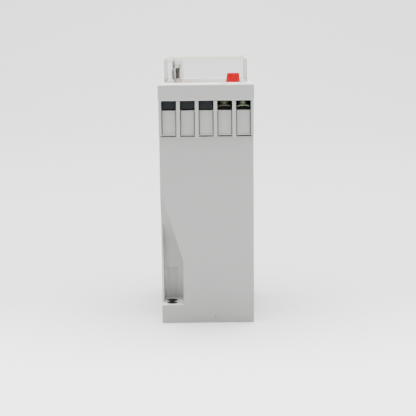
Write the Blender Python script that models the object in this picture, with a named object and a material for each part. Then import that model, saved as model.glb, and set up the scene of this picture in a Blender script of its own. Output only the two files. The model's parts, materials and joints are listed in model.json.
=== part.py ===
"""DIN rail timer relay: snap-together housing, sealable clear lid, screw terminals and a relay inside.

The timer stands on its mounting face. +Z is its front, X its width and Y its length along the panel.
The origin is the centre of the mounting face. Every size below is in millimetres.
"""

import math

import bmesh
import bpy
from mathutils import Matrix, Vector

METRES = 0.001
GAP = 0.3
CENTRE = (0.0, 0.0)

# Base housing.
BODY_WIDTH = 44.6
BODY_LENGTH = 70.4
BODY_HEIGHT = 91.2
BODY_WALL = 1.8
FLOOR_TOP = 11.0
CORNER_ROUND = 0.6

# Rail groove for a 35 mm top-hat rail, and its spring latch.
RAIL_WIDTH = 35.0
RAIL_SEAT = 7.7
RAIL_CLEARANCE = 0.3
SEAT_RELIEF = 0.3
HOOK_REACH = 2.6
HOOK_TOP = 6.3
LATCH_WIDTH = 14.0
LATCH_BOTTOM = 3.2
LATCH_TOP = 6.3
LATCH_TRAVEL = 3.5
LATCH_TAB = 1.3
SPRING_BAY = 10.0
SPRING_STOP = 1.0
SPRING_RADIUS = 1.15
SPRING_WIRE = 0.4
SPRING_TURNS = 5

# Mounting lugs: two screw pockets at opposite corners, each with a figure-of-eight hole.
HOLE_SPACING_X = 35.0
HOLE_SPACING_LONG = 60.0
HOLE_SPACING_SHORT = 50.0
HOLE_RADIUS = 2.7
LUG_HEIGHT = 9.0
POCKET_WIDTH = 10.5
POCKET_DEPTH = 15.0
POCKET_SHOULDER = 31.0
POCKET_TOP = 65.0
RAMP_FOOT = 24.5
POCKET_WALL = 1.5
POCKET_SKIN = 0.9
SKIN_SETBACK = 6.0
DRIVER_GROOVE_RADIUS = 3.2
DRIVER_GROOVE_INTO = 1.5

# Front cap: collar above, terminal shroud below.
COLLAR_LIP = 0.2
COLLAR_OVERHANG = 2.8
COLLAR_HEIGHT = 7.7
COLLAR_CHAMFER = 1.0
COLLAR_WALL = 1.6
SHROUD_HEIGHT = 16.4
SHROUD_SETBACK = 0.4
CAP_WALL = 1.5
TOP_PLATE = 2.0
CELLS = 5
RIB_WIDTH = 1.75
CHEEK = 1.3
RIB_PROUD = 1.8
RIB_TAIL = 0.8
SILL_HEIGHT = 12.0
CHAMBER_DEPTH = 12.8
TONGUE_WIDTH = 8.0
TONGUE_LENGTH = 6.5
TONGUE_THICK = 1.2
TONGUE_SPACING = 36.0
TONGUE_BUMP = 0.9
DRIVER_HOLE_RADIUS = 3.2

# Clear lid, its boss and its lock screw.
LID_SIDE_MARGIN = 2.65
LID_END_MARGIN = 15.0
LID_HEIGHT = 11.0
LID_WALL = 1.2
LID_TOP = 1.4
LID_ROUND = 0.8
LID_TRAVEL = 18.0
NUB_RADIUS = 0.9
NUB_HEIGHT = 0.5
LOCK_INSET = 6.0
LOCK_Y = -2.0
WELL_RADIUS = 2.65
WELL_BORE = 2.1
WELL_LENGTH = 6.3
SLEEVE_RADIUS = 3.1
SLEEVE_BORE = 2.3
LOCK_HEAD_RADIUS = 1.8
LOCK_HEAD_HEIGHT = 1.4
LOCK_SHANK_RADIUS = 1.1
SOCKET_RADIUS = 2.0
SOCKET_PROUD = 3.8

# Front panel and its controls.
PANEL_DROP = 2.7
PANEL_THICK = 1.1
LEDGE_THICK = 1.3
LEDGE_WIDTH = 1.7
SHAFT_RADIUS = 2.0
BUSHING_RADIUS = 3.0
POT_RADIUS = 8.0
POT_HEIGHT = 5.6
POINTER_REST_DEG = -28.0
HUB_RADIUS = 4.6
HUB_THICK = 1.2
ARM_WIDTH = 3.6
TAB_LENGTH = 5.6
TAB_WIDTH = 4.0
TAB_HEIGHT = 6.3
TAB_TAPER = 0.82
TAB_MARGIN = 0.75
SELECTOR_RADIUS = 2.5
SELECTOR_INSET = (4.2, 4.3)
SWITCH_SIDE = 6.8
SWITCH_HEIGHT = 7.5
LED_RADIUS = 1.5
POWER_LED_INSET = (3.8, 3.8)
OUTPUT_LED_INSET = (9.4, 3.2)

# Terminals.
SCREW_INSET = 7.3
SCREW_HEAD_RADIUS = 2.9
SCREW_HEAD_HEIGHT = 2.4
SCREW_SHANK_RADIUS = 1.5
BUSBAR_MARGIN = 0.7
BUSBAR_THICK = 0.9
CLAMP_MARGIN = 0.4
CLAMP_LENGTH = 6.2
CLAMP_THICK = 1.0
BLOCK_HEIGHT = 4.5
SUPPLY_CELLS = (3, 4)
CONTACT_CELLS = (0, 2, 4)

# Boards.
BOARD_THICK = 1.6
FRONT_BOARD_DROP = 13.0
HEADER_SIZE = (20.0, 5.0)
HOLE_FROM_END = 7.0
GUIDE_THICK = 1.2
GUIDE_DEPTH = 1.6

# Levels and faces that follow from the sizes above.
CAP_WIDTH = BODY_WIDTH + 2 * COLLAR_LIP
CAP_LENGTH = BODY_LENGTH + 2 * COLLAR_OVERHANG
SHROUD_LENGTH = CAP_LENGTH - 2 * SHROUD_SETBACK
COLLAR_BOTTOM = BODY_HEIGHT + SHROUD_HEIGHT
TOP = COLLAR_BOTTOM + COLLAR_HEIGHT
CEILING = TOP - TOP_PLATE
SILL = BODY_HEIGHT + SILL_HEIGHT
CHAMBER_FRONT = CAP_LENGTH / 2 - COLLAR_WALL
CHAMBER_BACK = CHAMBER_FRONT - CHAMBER_DEPTH
FUNNEL_FACE = SHROUD_LENGTH / 2 - RIB_PROUD
CAVITY_LENGTH = 2 * (FUNNEL_FACE - CAP_WALL)
CAVITY_WIDTH = BODY_WIDTH - 2 * CAP_WALL
CELL_PITCH = (BODY_WIDTH - 2 * CHEEK + RIB_WIDTH) / CELLS
CELL_WIDTH = CELL_PITCH - RIB_WIDTH
PANEL_TOP = TOP - PANEL_DROP
PANEL_BOTTOM = PANEL_TOP - PANEL_THICK
LEDGE_TOP = PANEL_BOTTOM - GAP
LID_WIDTH = CAP_WIDTH - 2 * LID_SIDE_MARGIN
LID_LENGTH = CAP_LENGTH - 2 * LID_END_MARGIN
LID_FOOT = TOP + GAP
LID_CROWN = LID_FOOT + LID_HEIGHT
WINDOW_WIDTH = LID_WIDTH - 2 * LID_WALL - 2 * GAP
WINDOW_LENGTH = LID_LENGTH - 2 * LID_WALL - 2 * GAP
PANEL_WIDTH = WINDOW_WIDTH - 2 * GAP
PANEL_LENGTH = WINDOW_LENGTH - 2 * GAP
INSIDE_LENGTH = 2 * (CHAMBER_BACK - CAP_WALL)
CAVITY_ROOF = SILL + GAP + BUSBAR_THICK + GAP
BLOCK_TOP = SILL - 0.2
SCREW_Y = CAP_LENGTH / 2 - SCREW_INSET
BUSBAR_BOTTOM = BLOCK_TOP + GAP
CLAMP_BOTTOM = BUSBAR_BOTTOM + BUSBAR_THICK + GAP
HEAD_BOTTOM = CLAMP_BOTTOM + CLAMP_THICK + GAP
FRONT_BOARD_TOP = PANEL_TOP - FRONT_BOARD_DROP
FRONT_BOARD_BOTTOM = FRONT_BOARD_TOP - BOARD_THICK
FRONT_BOARD_LENGTH = INSIDE_LENGTH - 2 * (BUSBAR_THICK + 2 * GAP)
BOARD_FOOT = FLOOR_TOP + GAP
BOARD_HEAD = BODY_HEIGHT - 2.2
BOARD_LENGTH = BODY_LENGTH - 2 * BODY_WALL - 2 * GAP
BOARD_FACE = BOARD_THICK / 2 + GAP
GROOVE_HALF = RAIL_WIDTH / 2 + RAIL_CLEARANCE
POCKET_INNER_X = -BODY_WIDTH / 2 + POCKET_WIDTH
POCKET_INNER_Y = -BODY_LENGTH / 2 + POCKET_DEPTH
LATCH_TUNNEL_TOP = LATCH_TOP + GAP
SNAP_TOP = BODY_HEIGHT - TONGUE_LENGTH + 3.0
BAY_START = GROOVE_HALF + 1.6
BAY_END = BAY_START + SPRING_BAY
BAY_HALF = SPRING_RADIUS + SPRING_WIRE / 2 + GAP
LOCK = (LOCK_INSET - LID_WIDTH / 2, LOCK_Y)
SELECTOR_X = PANEL_WIDTH / 2 - SELECTOR_INSET[0]
SELECTOR_Y = PANEL_LENGTH / 2 - SELECTOR_INSET[1]
TAB_CLEAR_OF_SELECTOR = math.hypot(SELECTOR_X, SELECTOR_Y) - SELECTOR_RADIUS - 1.0
TAB_OUTER = min(LID_WIDTH / 2 - LID_WALL - TAB_MARGIN, TAB_CLEAR_OF_SELECTOR)
TAB_INNER = TAB_OUTER - TAB_LENGTH
POWER_LED = (POWER_LED_INSET[0] - PANEL_WIDTH / 2, PANEL_LENGTH / 2 - POWER_LED_INSET[1])
OUTPUT_LED = (OUTPUT_LED_INSET[0] - PANEL_WIDTH / 2, PANEL_LENGTH / 2 - OUTPUT_LED_INSET[1])

LOOKS = {
    "housing_grey": ((0.60, 0.62, 0.60), 0.55, 0.0, 1.0),
    "panel_white": ((0.78, 0.78, 0.76), 0.5, 0.0, 1.0),
    "clear_plastic": ((0.88, 0.88, 0.80), 0.1, 0.0, 0.3),
    "signal_red": ((0.72, 0.05, 0.05), 0.4, 0.0, 1.0),
    "dark_plastic": ((0.05, 0.055, 0.06), 0.5, 0.0, 1.0),
    "light_grey": ((0.72, 0.72, 0.70), 0.5, 0.0, 1.0),
    "led_green": ((0.15, 0.60, 0.20), 0.2, 0.0, 1.0),
    "led_yellow": ((0.85, 0.65, 0.10), 0.2, 0.0, 1.0),
    "brass": ((0.72, 0.55, 0.28), 0.35, 1.0, 1.0),
    "plated_steel": ((0.62, 0.60, 0.42), 0.35, 1.0, 1.0),
    "bright_steel": ((0.65, 0.66, 0.68), 0.3, 1.0, 1.0),
    "board_green": ((0.05, 0.22, 0.12), 0.45, 0.0, 1.0),
    "iron": ((0.30, 0.30, 0.32), 0.5, 1.0, 1.0),
    "copper": ((0.60, 0.25, 0.12), 0.35, 1.0, 1.0),
    "component_blue": ((0.08, 0.12, 0.30), 0.4, 0.0, 1.0),
    "component_ochre": ((0.65, 0.42, 0.10), 0.5, 0.0, 1.0),
}


def look(name):
    """The material of this name, made on first use."""
    if name in bpy.data.materials:
        return bpy.data.materials[name]
    colour, roughness, metallic, alpha = LOOKS[name]
    material = bpy.data.materials.new(name)
    material.use_nodes = True
    shader = material.node_tree.nodes["Principled BSDF"]
    shader.inputs["Base Color"].default_value = (*colour, 1.0)
    shader.inputs["Roughness"].default_value = roughness
    shader.inputs["Metallic"].default_value = metallic
    shader.inputs["Alpha"].default_value = alpha
    return material


def place(name, mesh, finish=None):
    """Turns a bmesh in millimetres into a named object in metres. With no finish it is a cutter."""
    bmesh.ops.scale(mesh, vec=(METRES,) * 3, verts=mesh.verts)
    bmesh.ops.recalc_face_normals(mesh, faces=mesh.faces)
    data = bpy.data.meshes.new(name)
    mesh.to_mesh(data)
    mesh.free()
    piece = bpy.data.objects.new(name, data)
    bpy.context.scene.collection.objects.link(piece)
    if finish is None:
        piece.hide_render = True
        piece.display_type = "WIRE"
    else:
        data.materials.append(look(finish))
    return piece


def boolean(piece, other, operation):
    """Adds a live Boolean of this operation with another object."""
    modifier = piece.modifiers.new(other.name, "BOOLEAN")
    modifier.operation = operation
    modifier.object = other
    return piece


def cut(piece, *cutters):
    """Takes each cutter out of the piece."""
    for cutter in cutters:
        boolean(piece, cutter, "DIFFERENCE")
    return piece


def join(piece, *others):
    """Adds each helper shape to the piece."""
    for other in others:
        boolean(piece, other, "UNION")
    return piece


def round_off(piece):
    """Shades a piece smooth and keeps its real edges sharp."""
    piece.data.shade_smooth()
    piece.data.set_sharp_from_angle(angle=math.radians(35))
    return piece


def add_box(mesh, low, high):
    """Adds a box from its lowest and highest corners, and returns its vertices."""
    low, high = Vector(low), Vector(high)
    sides = Matrix.Diagonal((*(high - low), 1.0))
    made = bmesh.ops.create_cube(mesh, size=1.0, matrix=Matrix.Translation((low + high) / 2) @ sides)
    return made["verts"]


def add_rod(mesh, start, end, radius, sides=24, end_radius=None):
    """Adds a closed cylinder or cone from start to end."""
    start, end = Vector(start), Vector(end)
    turn = (end - start).to_track_quat("Z", "Y").to_matrix().to_4x4()
    made = bmesh.ops.create_cone(
        mesh,
        cap_ends=True,
        segments=sides,
        radius1=radius,
        radius2=radius if end_radius is None else end_radius,
        depth=(end - start).length,
        matrix=Matrix.Translation((start + end) / 2) @ turn,
    )
    return made["verts"]


def add_prism(mesh, outline, along, low, high):
    """Adds an outline, given in the two axes other than along, extruded from low to high."""
    axes = {"X": (1, 2, 0), "Y": (0, 2, 1), "Z": (0, 1, 2)}[along]

    def at(point, level):
        spot = [0.0, 0.0, 0.0]
        spot[axes[0]], spot[axes[1]], spot[axes[2]] = point[0], point[1], level
        return spot

    face = mesh.faces.new([mesh.verts.new(at(point, low)) for point in outline])
    grown = bmesh.ops.extrude_face_region(mesh, geom=[face])
    moved = [item for item in grown["geom"] if isinstance(item, bmesh.types.BMVert)]
    bmesh.ops.translate(mesh, verts=moved, vec=Vector(at((0, 0), high)) - Vector(at((0, 0), low)))


def soften(mesh, edges, width, steps):
    """Bevels these edges."""
    bmesh.ops.bevel(mesh, geom=edges, offset=width, segments=steps, profile=0.5, affect="EDGES", material=-1)


def box(name, low, high, finish=None, chamfer=0.0):
    """A box, with all its edges bevelled where a chamfer is given."""
    mesh = bmesh.new()
    add_box(mesh, low, high)
    if chamfer:
        soften(mesh, mesh.edges[:], chamfer, 1)
    return place(name, mesh, finish)


def boxes(name, corners, finish=None):
    """Several boxes that don't touch, in one helper."""
    mesh = bmesh.new()
    for low, high in corners:
        add_box(mesh, low, high)
    return place(name, mesh, finish)


def rod(name, start, end, radius, finish=None, sides=24, end_radius=None):
    """A cylinder or cone."""
    mesh = bmesh.new()
    add_rod(mesh, start, end, radius, sides, end_radius)
    piece = place(name, mesh, finish)
    return round_off(piece) if finish else piece


def turned(name, profile, centre, finish, sides=24):
    """A solid turned about a vertical axis, from (radius, height) points that start and end on the axis."""
    mesh = bmesh.new()
    x, y = centre
    points = [mesh.verts.new((x + radius, y, height)) for radius, height in profile]
    edges = [mesh.edges.new(pair) for pair in zip(points, points[1:])]
    profile_geometry = points + edges
    bmesh.ops.spin(
        mesh,
        geom=profile_geometry,
        cent=(x, y, 0),
        axis=(0, 0, 1),
        angle=math.tau,
        steps=sides,
        use_merge=True,
    )
    bmesh.ops.remove_doubles(mesh, verts=mesh.verts, dist=0.001)
    return round_off(place(name, mesh, finish))


def post(name, centre, low, high, radius, finish=None, sides=24):
    """An upright cylinder."""
    return rod(name, (*centre, low), (*centre, high), radius, finish, sides)


def trim(mesh, point, normal):
    """Cuts a closed convex mesh by a plane, drops what lies on the normal's side and closes the cut."""
    everything = mesh.verts[:] + mesh.edges[:] + mesh.faces[:]
    found = bmesh.ops.bisect_plane(mesh, geom=everything, plane_co=point, plane_no=normal, clear_outer=True)
    rim = [item for item in found["geom_cut"] if isinstance(item, bmesh.types.BMEdge)]
    bmesh.ops.contextual_create(mesh, geom=rim)


def cell_x(index):
    """The middle of a terminal cell, counted from -X."""
    return (index - (CELLS - 1) / 2) * CELL_PITCH


def pocket(name, low, y_high=POCKET_INNER_Y, wall_x=0.0, wall_y=0.0):
    """The space over the lug at the -X -Y corner: a shaft with a slanted side and a ramp at its back.

    It starts at the low corner. wall_x and wall_y widen it for the wall that the housing keeps about it.
    """
    mesh = bmesh.new()
    ceiling = POCKET_TOP + 2 * BODY_WALL
    add_box(mesh, low, (POCKET_INNER_X + wall_x, y_high + wall_y, ceiling))
    rise = POCKET_TOP - POCKET_SHOULDER
    trim(mesh, (POCKET_INNER_X + wall_x, 0, POCKET_SHOULDER), (rise, 0, POCKET_WIDTH))
    trim(mesh, (0, POCKET_INNER_Y + wall_y, RAMP_FOOT), (0, POCKET_TOP - RAMP_FOOT, POCKET_DEPTH))
    return place(name, mesh)


def twin(helper):
    """The same helper at the opposite corner, half a turn about the vertical axis."""
    other = helper.copy()
    other.name = helper.name + "_opposite"
    other.rotation_euler = (0, 0, math.pi)
    bpy.context.scene.collection.objects.link(other)
    return other


def both_corners(helper):
    """A helper and its twin."""
    return helper, twin(helper)


def build_base_housing():
    """The deep box that holds the electronics, with the rail groove, the lugs and the latch tunnel."""
    half_w, half_l = BODY_WIDTH / 2, BODY_LENGTH / 2
    mesh = bmesh.new()
    add_box(mesh, (-half_w, -half_l, 0), (half_w, half_l, BODY_HEIGHT))
    upright = [edge for edge in mesh.edges if abs(edge.verts[0].co.z - edge.verts[1].co.z) > 1]
    soften(mesh, upright, CORNER_ROUND, 3)
    housing = place("base_housing", mesh, "housing_grey")

    inner_w, inner_l = half_w - BODY_WALL, half_l - BODY_WALL
    cavity = box("housing_cavity", (-inner_w, -inner_l, FLOOR_TOP), (inner_w, inner_l, BODY_HEIGHT + 1))
    outside = (-half_w - 1, -half_l - 1)
    wall = pocket(
        "pocket_wall", (*outside, 1), wall_x=POCKET_WALL, wall_y=POCKET_WALL + DRIVER_GROOVE_INTO
    )
    cut(cavity, *both_corners(wall))
    cut(housing, cavity)

    split = -half_l + SKIN_SETBACK
    front = pocket("pocket_front", (*outside, LUG_HEIGHT), y_high=split)
    rear = pocket("pocket_rear", (-half_w + POCKET_SKIN, split - GAP, LUG_HEIGHT))
    cut(housing, *both_corners(front), *both_corners(rear))

    hole_x = -HOLE_SPACING_X / 2
    for label, spacing in (("outer", HOLE_SPACING_LONG), ("inner", HOLE_SPACING_SHORT)):
        hole = post(f"lug_hole_{label}", (hole_x, -spacing / 2), -1, LUG_HEIGHT + 1, HOLE_RADIUS)
        cut(housing, *both_corners(hole))
    groove_y = POCKET_INNER_Y - DRIVER_GROOVE_RADIUS + DRIVER_GROOVE_INTO
    driver_groove = post("driver_groove", (hole_x, groove_y), LUG_HEIGHT, RAMP_FOOT, DRIVER_GROOVE_RADIUS)
    cut(housing, *both_corners(driver_groove))

    mesh = bmesh.new()
    lip = GROOVE_HALF - HOOK_REACH
    seat = lip - 0.2
    relief = RAIL_SEAT + SEAT_RELIEF
    outline = (
        (-lip - 0.8, -1), (-lip, LATCH_BOTTOM), (-lip, HOOK_TOP), (-GROOVE_HALF, HOOK_TOP),
        (-GROOVE_HALF, relief), (-seat, relief), (-seat, RAIL_SEAT), (seat, RAIL_SEAT),
        (seat, relief), (GROOVE_HALF, relief), (GROOVE_HALF, -1),
    )
    add_prism(mesh, outline, "X", -half_w - 1, half_w + 1)
    cut(housing, place("rail_groove", mesh))

    half_latch = LATCH_WIDTH / 2 + GAP
    tunnel = box(
        "latch_tunnel",
        (-half_latch, GROOVE_HALF - 1, LATCH_BOTTOM - GAP),
        (half_latch, half_l + 1, LATCH_TUNNEL_TOP),
    )
    underside = boxes(
        "underside_pockets",
        [
            (
                (POCKET_INNER_X + BODY_WALL, -inner_l, -1),
                (inner_w, -GROOVE_HALF - BODY_WALL, FLOOR_TOP - BODY_WALL),
            ),
            (
                (-inner_w, GROOVE_HALF + BODY_WALL, -1),
                (-half_latch - BODY_WALL, inner_l, FLOOR_TOP - BODY_WALL),
            ),
        ],
    )
    window_low = BODY_HEIGHT - TONGUE_LENGTH + GAP
    window_high = SNAP_TOP + GAP
    half_tongue = TONGUE_WIDTH / 2 + GAP
    snap_windows = boxes(
        "snap_windows",
        [
            ((wall - 3, middle - half_tongue, window_low), (wall + 3, middle + half_tongue, window_high))
            for wall in (-half_w, half_w)
            for middle in (-TONGUE_SPACING / 2, TONGUE_SPACING / 2)
        ],
    )
    cut(housing, tunnel, underside, snap_windows)
    spring_stop = box(
        "spring_stop",
        (GAP - BAY_HALF, BAY_END - GAP - SPRING_STOP, LATCH_BOTTOM),
        (BAY_HALF - GAP, BAY_END - GAP, LATCH_TUNNEL_TOP + 1),
    )
    guide = BOARD_THICK / 2 + GAP
    board_guides = boxes(
        "board_guides",
        [
            ((min(x), min(y), FLOOR_TOP - 1), (max(x), max(y), BODY_HEIGHT - TONGUE_LENGTH))
            for x in ((-guide - GUIDE_THICK, -guide), (guide, guide + GUIDE_THICK))
            for y in ((-inner_l - 1, GUIDE_DEPTH - inner_l), (inner_l - GUIDE_DEPTH, inner_l + 1))
        ],
    )
    return join(housing, spring_stop, board_guides)


def build_front_cap():
    """The collar and terminal shroud: five funnels at each end, a sunken window and four snap tongues."""
    half_w, half_l = CAP_WIDTH / 2, CAP_LENGTH / 2
    mesh = bmesh.new()
    add_box(mesh, (-half_w, -half_l, COLLAR_BOTTOM), (half_w, half_l, TOP))
    crown = [edge for edge in mesh.edges if min(vert.co.z for vert in edge.verts) > TOP - 0.1]
    soften(mesh, crown, COLLAR_CHAMFER, 2)
    cap = place("front_cap", mesh, "housing_grey")

    shroud_l = SHROUD_LENGTH / 2
    shroud = box(
        "shroud", (-BODY_WIDTH / 2, -shroud_l, BODY_HEIGHT), (BODY_WIDTH / 2, shroud_l, COLLAR_BOTTOM + 1)
    )
    tail_low = (shroud_l - RIB_PROUD, BODY_HEIGHT - RIB_TAIL)
    tails = boxes(
        "rib_tails",
        [
            ((x - RIB_WIDTH / 2, min(ends), tail_low[1]), (x + RIB_WIDTH / 2, max(ends), BODY_HEIGHT + 1))
            for x in [(index - CELLS / 2 + 1) * CELL_PITCH for index in range(CELLS - 1)]
            for ends in ((-shroud_l, -tail_low[0]), (tail_low[0], shroud_l))
        ],
    )
    join(cap, shroud, tails)

    mesh = bmesh.new()
    for end in (-1, 1):
        outline = [
            (CHAMBER_BACK, SILL),
            (CHAMBER_BACK, CEILING),
            (CHAMBER_FRONT, CEILING),
            (CHAMBER_FRONT, COLLAR_BOTTOM),
            (half_l + 1, COLLAR_BOTTOM),
            (half_l + 1, BODY_HEIGHT - 2),
            (FUNNEL_FACE, BODY_HEIGHT - 2),
            (FUNNEL_FACE, SILL),
        ]
        side_view = [(end * y, z) for y, z in outline]
        for index in range(CELLS):
            left = cell_x(index) - CELL_WIDTH / 2
            add_prism(mesh, side_view, "X", left, left + CELL_WIDTH)
    cells = place("cell_cutter", mesh)

    wide, long = CAVITY_WIDTH / 2, CAVITY_LENGTH / 2
    lower = box("lower_cavity", (-wide, -long, BODY_HEIGHT - 2), (wide, long, CAVITY_ROOF))
    upper_bottom = CAVITY_ROOF - 1
    middle_cavity = box(
        "middle_cavity",
        (-wide, -INSIDE_LENGTH / 2, upper_bottom),
        (wide, INSIDE_LENGTH / 2, LEDGE_TOP - LEDGE_THICK),
    )
    window = box(
        "panel_recess",
        (-WINDOW_WIDTH / 2, -WINDOW_LENGTH / 2, LEDGE_TOP),
        (WINDOW_WIDTH / 2, WINDOW_LENGTH / 2, TOP + 1),
    )
    inner = box(
        "panel_window",
        (-WINDOW_WIDTH / 2 + LEDGE_WIDTH, -WINDOW_LENGTH / 2 + LEDGE_WIDTH, LEDGE_TOP - LEDGE_THICK - 1),
        (WINDOW_WIDTH / 2 - LEDGE_WIDTH, WINDOW_LENGTH / 2 - LEDGE_WIDTH, LEDGE_TOP + 1),
    )
    cut(cap, cells, lower, middle_cavity, window, inner)
    mesh = bmesh.new()
    for end, live in ((-1, SUPPLY_CELLS), (1, CONTACT_CELLS)):
        for index in live:
            add_rod(
                mesh,
                (cell_x(index), end * SCREW_Y, CEILING - 1),
                (cell_x(index), end * SCREW_Y, TOP + 1),
                DRIVER_HOLE_RADIUS,
            )
    cut(cap, place("driver_holes", mesh))

    tongue_out = BODY_WIDTH / 2 - BODY_WALL - GAP
    anchor = CAVITY_WIDTH / 2 + CAP_WALL / 2
    tip = BODY_HEIGHT - TONGUE_LENGTH
    mesh = bmesh.new()
    for side in (-1, 1):
        outline = [
            (tongue_out - TONGUE_THICK, BODY_HEIGHT + 3),
            (tongue_out - TONGUE_THICK, tip - 1),
            (tongue_out, tip - 1),
            (tongue_out, tip + 2 * GAP),
            (tongue_out + TONGUE_BUMP, tip + 1.4),
            (tongue_out + TONGUE_BUMP, SNAP_TOP),
            (tongue_out, SNAP_TOP),
            (tongue_out, BODY_HEIGHT + 1),
            (anchor, BODY_HEIGHT + 1),
            (anchor, BODY_HEIGHT + 3),
        ]
        end_view = [(side * x, z) for x, z in outline]
        for middle in (-TONGUE_SPACING / 2, TONGUE_SPACING / 2):
            add_prism(mesh, end_view, "Y", middle - TONGUE_WIDTH / 2, middle + TONGUE_WIDTH / 2)
    return join(cap, place("snap_tongues", mesh))


def build_front_panel():
    """The dial plate, with holes for the shaft, the lamps, the selectors and the lock socket."""
    panel = box(
        "front_panel",
        (-PANEL_WIDTH / 2, -PANEL_LENGTH / 2, PANEL_BOTTOM),
        (PANEL_WIDTH / 2, PANEL_LENGTH / 2, PANEL_TOP),
        "panel_white",
    )
    mesh = bmesh.new()
    holes = [
        ((0, 0), BUSHING_RADIUS),
        (LOCK, SOCKET_RADIUS),
        (POWER_LED, LED_RADIUS),
        (OUTPUT_LED, LED_RADIUS),
        ((SELECTOR_X, SELECTOR_Y), SELECTOR_RADIUS),
        ((SELECTOR_X, -SELECTOR_Y), SELECTOR_RADIUS),
    ]
    for (x, y), radius in holes:
        add_rod(mesh, (x, y, PANEL_BOTTOM - 1), (x, y, PANEL_TOP + 1), radius + GAP)
    return cut(panel, place("panel_holes", mesh))


def build_clear_lid():
    """The lift-off clear lid, with a stepped boss for its lock screw and a grip nub at one corner."""
    half_w, half_l = LID_WIDTH / 2, LID_LENGTH / 2
    mesh = bmesh.new()
    add_box(mesh, (-half_w, -half_l, LID_FOOT), (half_w, half_l, LID_CROWN))
    soft = [edge for edge in mesh.edges if max(vert.co.z for vert in edge.verts) > LID_FOOT + 1]
    soften(mesh, soft, LID_ROUND, 2)
    lid = place("clear_lid", mesh, "clear_plastic")
    inner = (half_w - LID_WALL, half_l - LID_WALL)
    cut(lid, box("lid_inside", (-inner[0], -inner[1], LID_FOOT - 1), (*inner, LID_CROWN - LID_TOP)))
    step = LID_CROWN - WELL_LENGTH
    inside_top = LID_CROWN - LID_TOP / 2
    well = post("lid_well", LOCK, step, inside_top, WELL_RADIUS)
    sleeve = post("lid_sleeve", LOCK, LID_FOOT + 2 * GAP, step + 0.8, SLEEVE_RADIUS)
    nub_at = (half_w - NUB_RADIUS, half_l - NUB_RADIUS)
    nub = post("lid_nub", nub_at, inside_top, LID_CROWN + NUB_HEIGHT, NUB_RADIUS, sides=12)
    join(lid, well, sleeve, nub)
    floor = step + LID_TOP
    well_bore = post("well_bore", LOCK, floor, LID_CROWN + 1, WELL_BORE)
    shank_bore = post("shank_bore", LOCK, step - 1, floor + 1, LOCK_SHANK_RADIUS + GAP, sides=16)
    sleeve_bore = post("sleeve_bore", LOCK, LID_FOOT - 1, step, SLEEVE_BORE)
    return cut(lid, well_bore, shank_bore, sleeve_bore)


def build_lock():
    """The slotted lock screw in the lid, and the brass socket in the panel that it turns in."""
    seat = LID_CROWN - WELL_LENGTH + LID_TOP + GAP
    tip = PANEL_BOTTOM
    top = seat + LOCK_HEAD_HEIGHT
    profile = [
        (0, tip),
        (LOCK_SHANK_RADIUS - 0.3, tip),
        (LOCK_SHANK_RADIUS, tip + 0.5),
        (LOCK_SHANK_RADIUS, seat),
        (LOCK_HEAD_RADIUS, seat),
        (LOCK_HEAD_RADIUS, top - 0.3),
        (LOCK_HEAD_RADIUS - 0.3, top),
        (0, top),
    ]
    screw = turned("lid_lock_screw", profile, LOCK, "bright_steel")
    reach = LOCK_HEAD_RADIUS + 1
    slot_low = (LOCK[0] - reach, LOCK[1] - 0.35, top - 0.8)
    cut(screw, box("lock_slot", slot_low, (LOCK[0] + reach, LOCK[1] + 0.35, top + 1)))
    foot = PANEL_BOTTOM - 2.5
    socket_top = PANEL_TOP + SOCKET_PROUD
    socket = post("lock_socket", LOCK, foot, socket_top, SOCKET_RADIUS, "brass")
    cut(socket, post("socket_bore", LOCK, foot + 1, socket_top + 1, LOCK_SHANK_RADIUS + GAP, sides=16))


def build_time_setting():
    """The potentiometer, its slotted shaft and the red pointer with its raised grip."""
    foot = FRONT_BOARD_TOP + GAP
    neck = foot + POT_HEIGHT
    profile = [
        (0, foot),
        (POT_RADIUS, foot),
        (POT_RADIUS, neck - 0.5),
        (POT_RADIUS - 0.5, neck),
        (BUSHING_RADIUS, neck),
        (BUSHING_RADIUS, PANEL_TOP - GAP),
        (0, PANEL_TOP - GAP),
    ]
    body = turned("pot_body", profile, CENTRE, "bright_steel", sides=28)
    cut(body, post("pot_bore", CENTRE, foot + 3, PANEL_TOP + 1, SHAFT_RADIUS + GAP))
    hub_bottom = PANEL_TOP + GAP
    shaft_top = hub_bottom + HUB_THICK
    shaft = post("pot_shaft", CENTRE, foot + 3 + GAP, shaft_top, SHAFT_RADIUS, "bright_steel")
    reach = SHAFT_RADIUS + 1
    cut(shaft, box("shaft_slot", (-reach, -0.4, shaft_top - 1), (reach, 0.4, shaft_top + 1)))

    arm_low = (HUB_RADIUS / 2, -ARM_WIDTH / 2, hub_bottom)
    arm = box("pointer_arm", arm_low, (TAB_INNER + 1, ARM_WIDTH / 2, shaft_top))
    mesh = bmesh.new()
    grip_top = hub_bottom + TAB_HEIGHT
    grip = add_box(mesh, (TAB_INNER, -TAB_WIDTH / 2, hub_bottom), (TAB_OUTER, TAB_WIDTH / 2, grip_top))
    top_face = [vert for vert in grip if vert.co.z > hub_bottom + 1]
    middle = Vector((TAB_OUTER - TAB_LENGTH / 5, 0, grip_top))
    bmesh.ops.scale(mesh, vec=(TAB_TAPER, TAB_TAPER, 1), verts=top_face, space=Matrix.Translation(-middle))
    grip_helper = place("pointer_grip", mesh)
    pointer = post("time_pointer", CENTRE, hub_bottom, shaft_top, HUB_RADIUS, "signal_red", sides=32)
    join(pointer, arm, grip_helper)
    bore = post("pointer_bore", CENTRE, hub_bottom - 1, shaft_top + 1, SHAFT_RADIUS + GAP)
    cut(pointer, bore)
    axis = bpy.data.objects.new("time_axis", None)
    bpy.context.scene.collection.objects.link(axis)
    axis.rotation_euler = (0, 0, math.radians(POINTER_REST_DEG))
    for piece in (pointer, arm, grip_helper, bore, shaft):
        piece.parent = axis
    for cutter in [modifier.object for modifier in shaft.modifiers]:
        cutter.parent = axis


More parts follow.
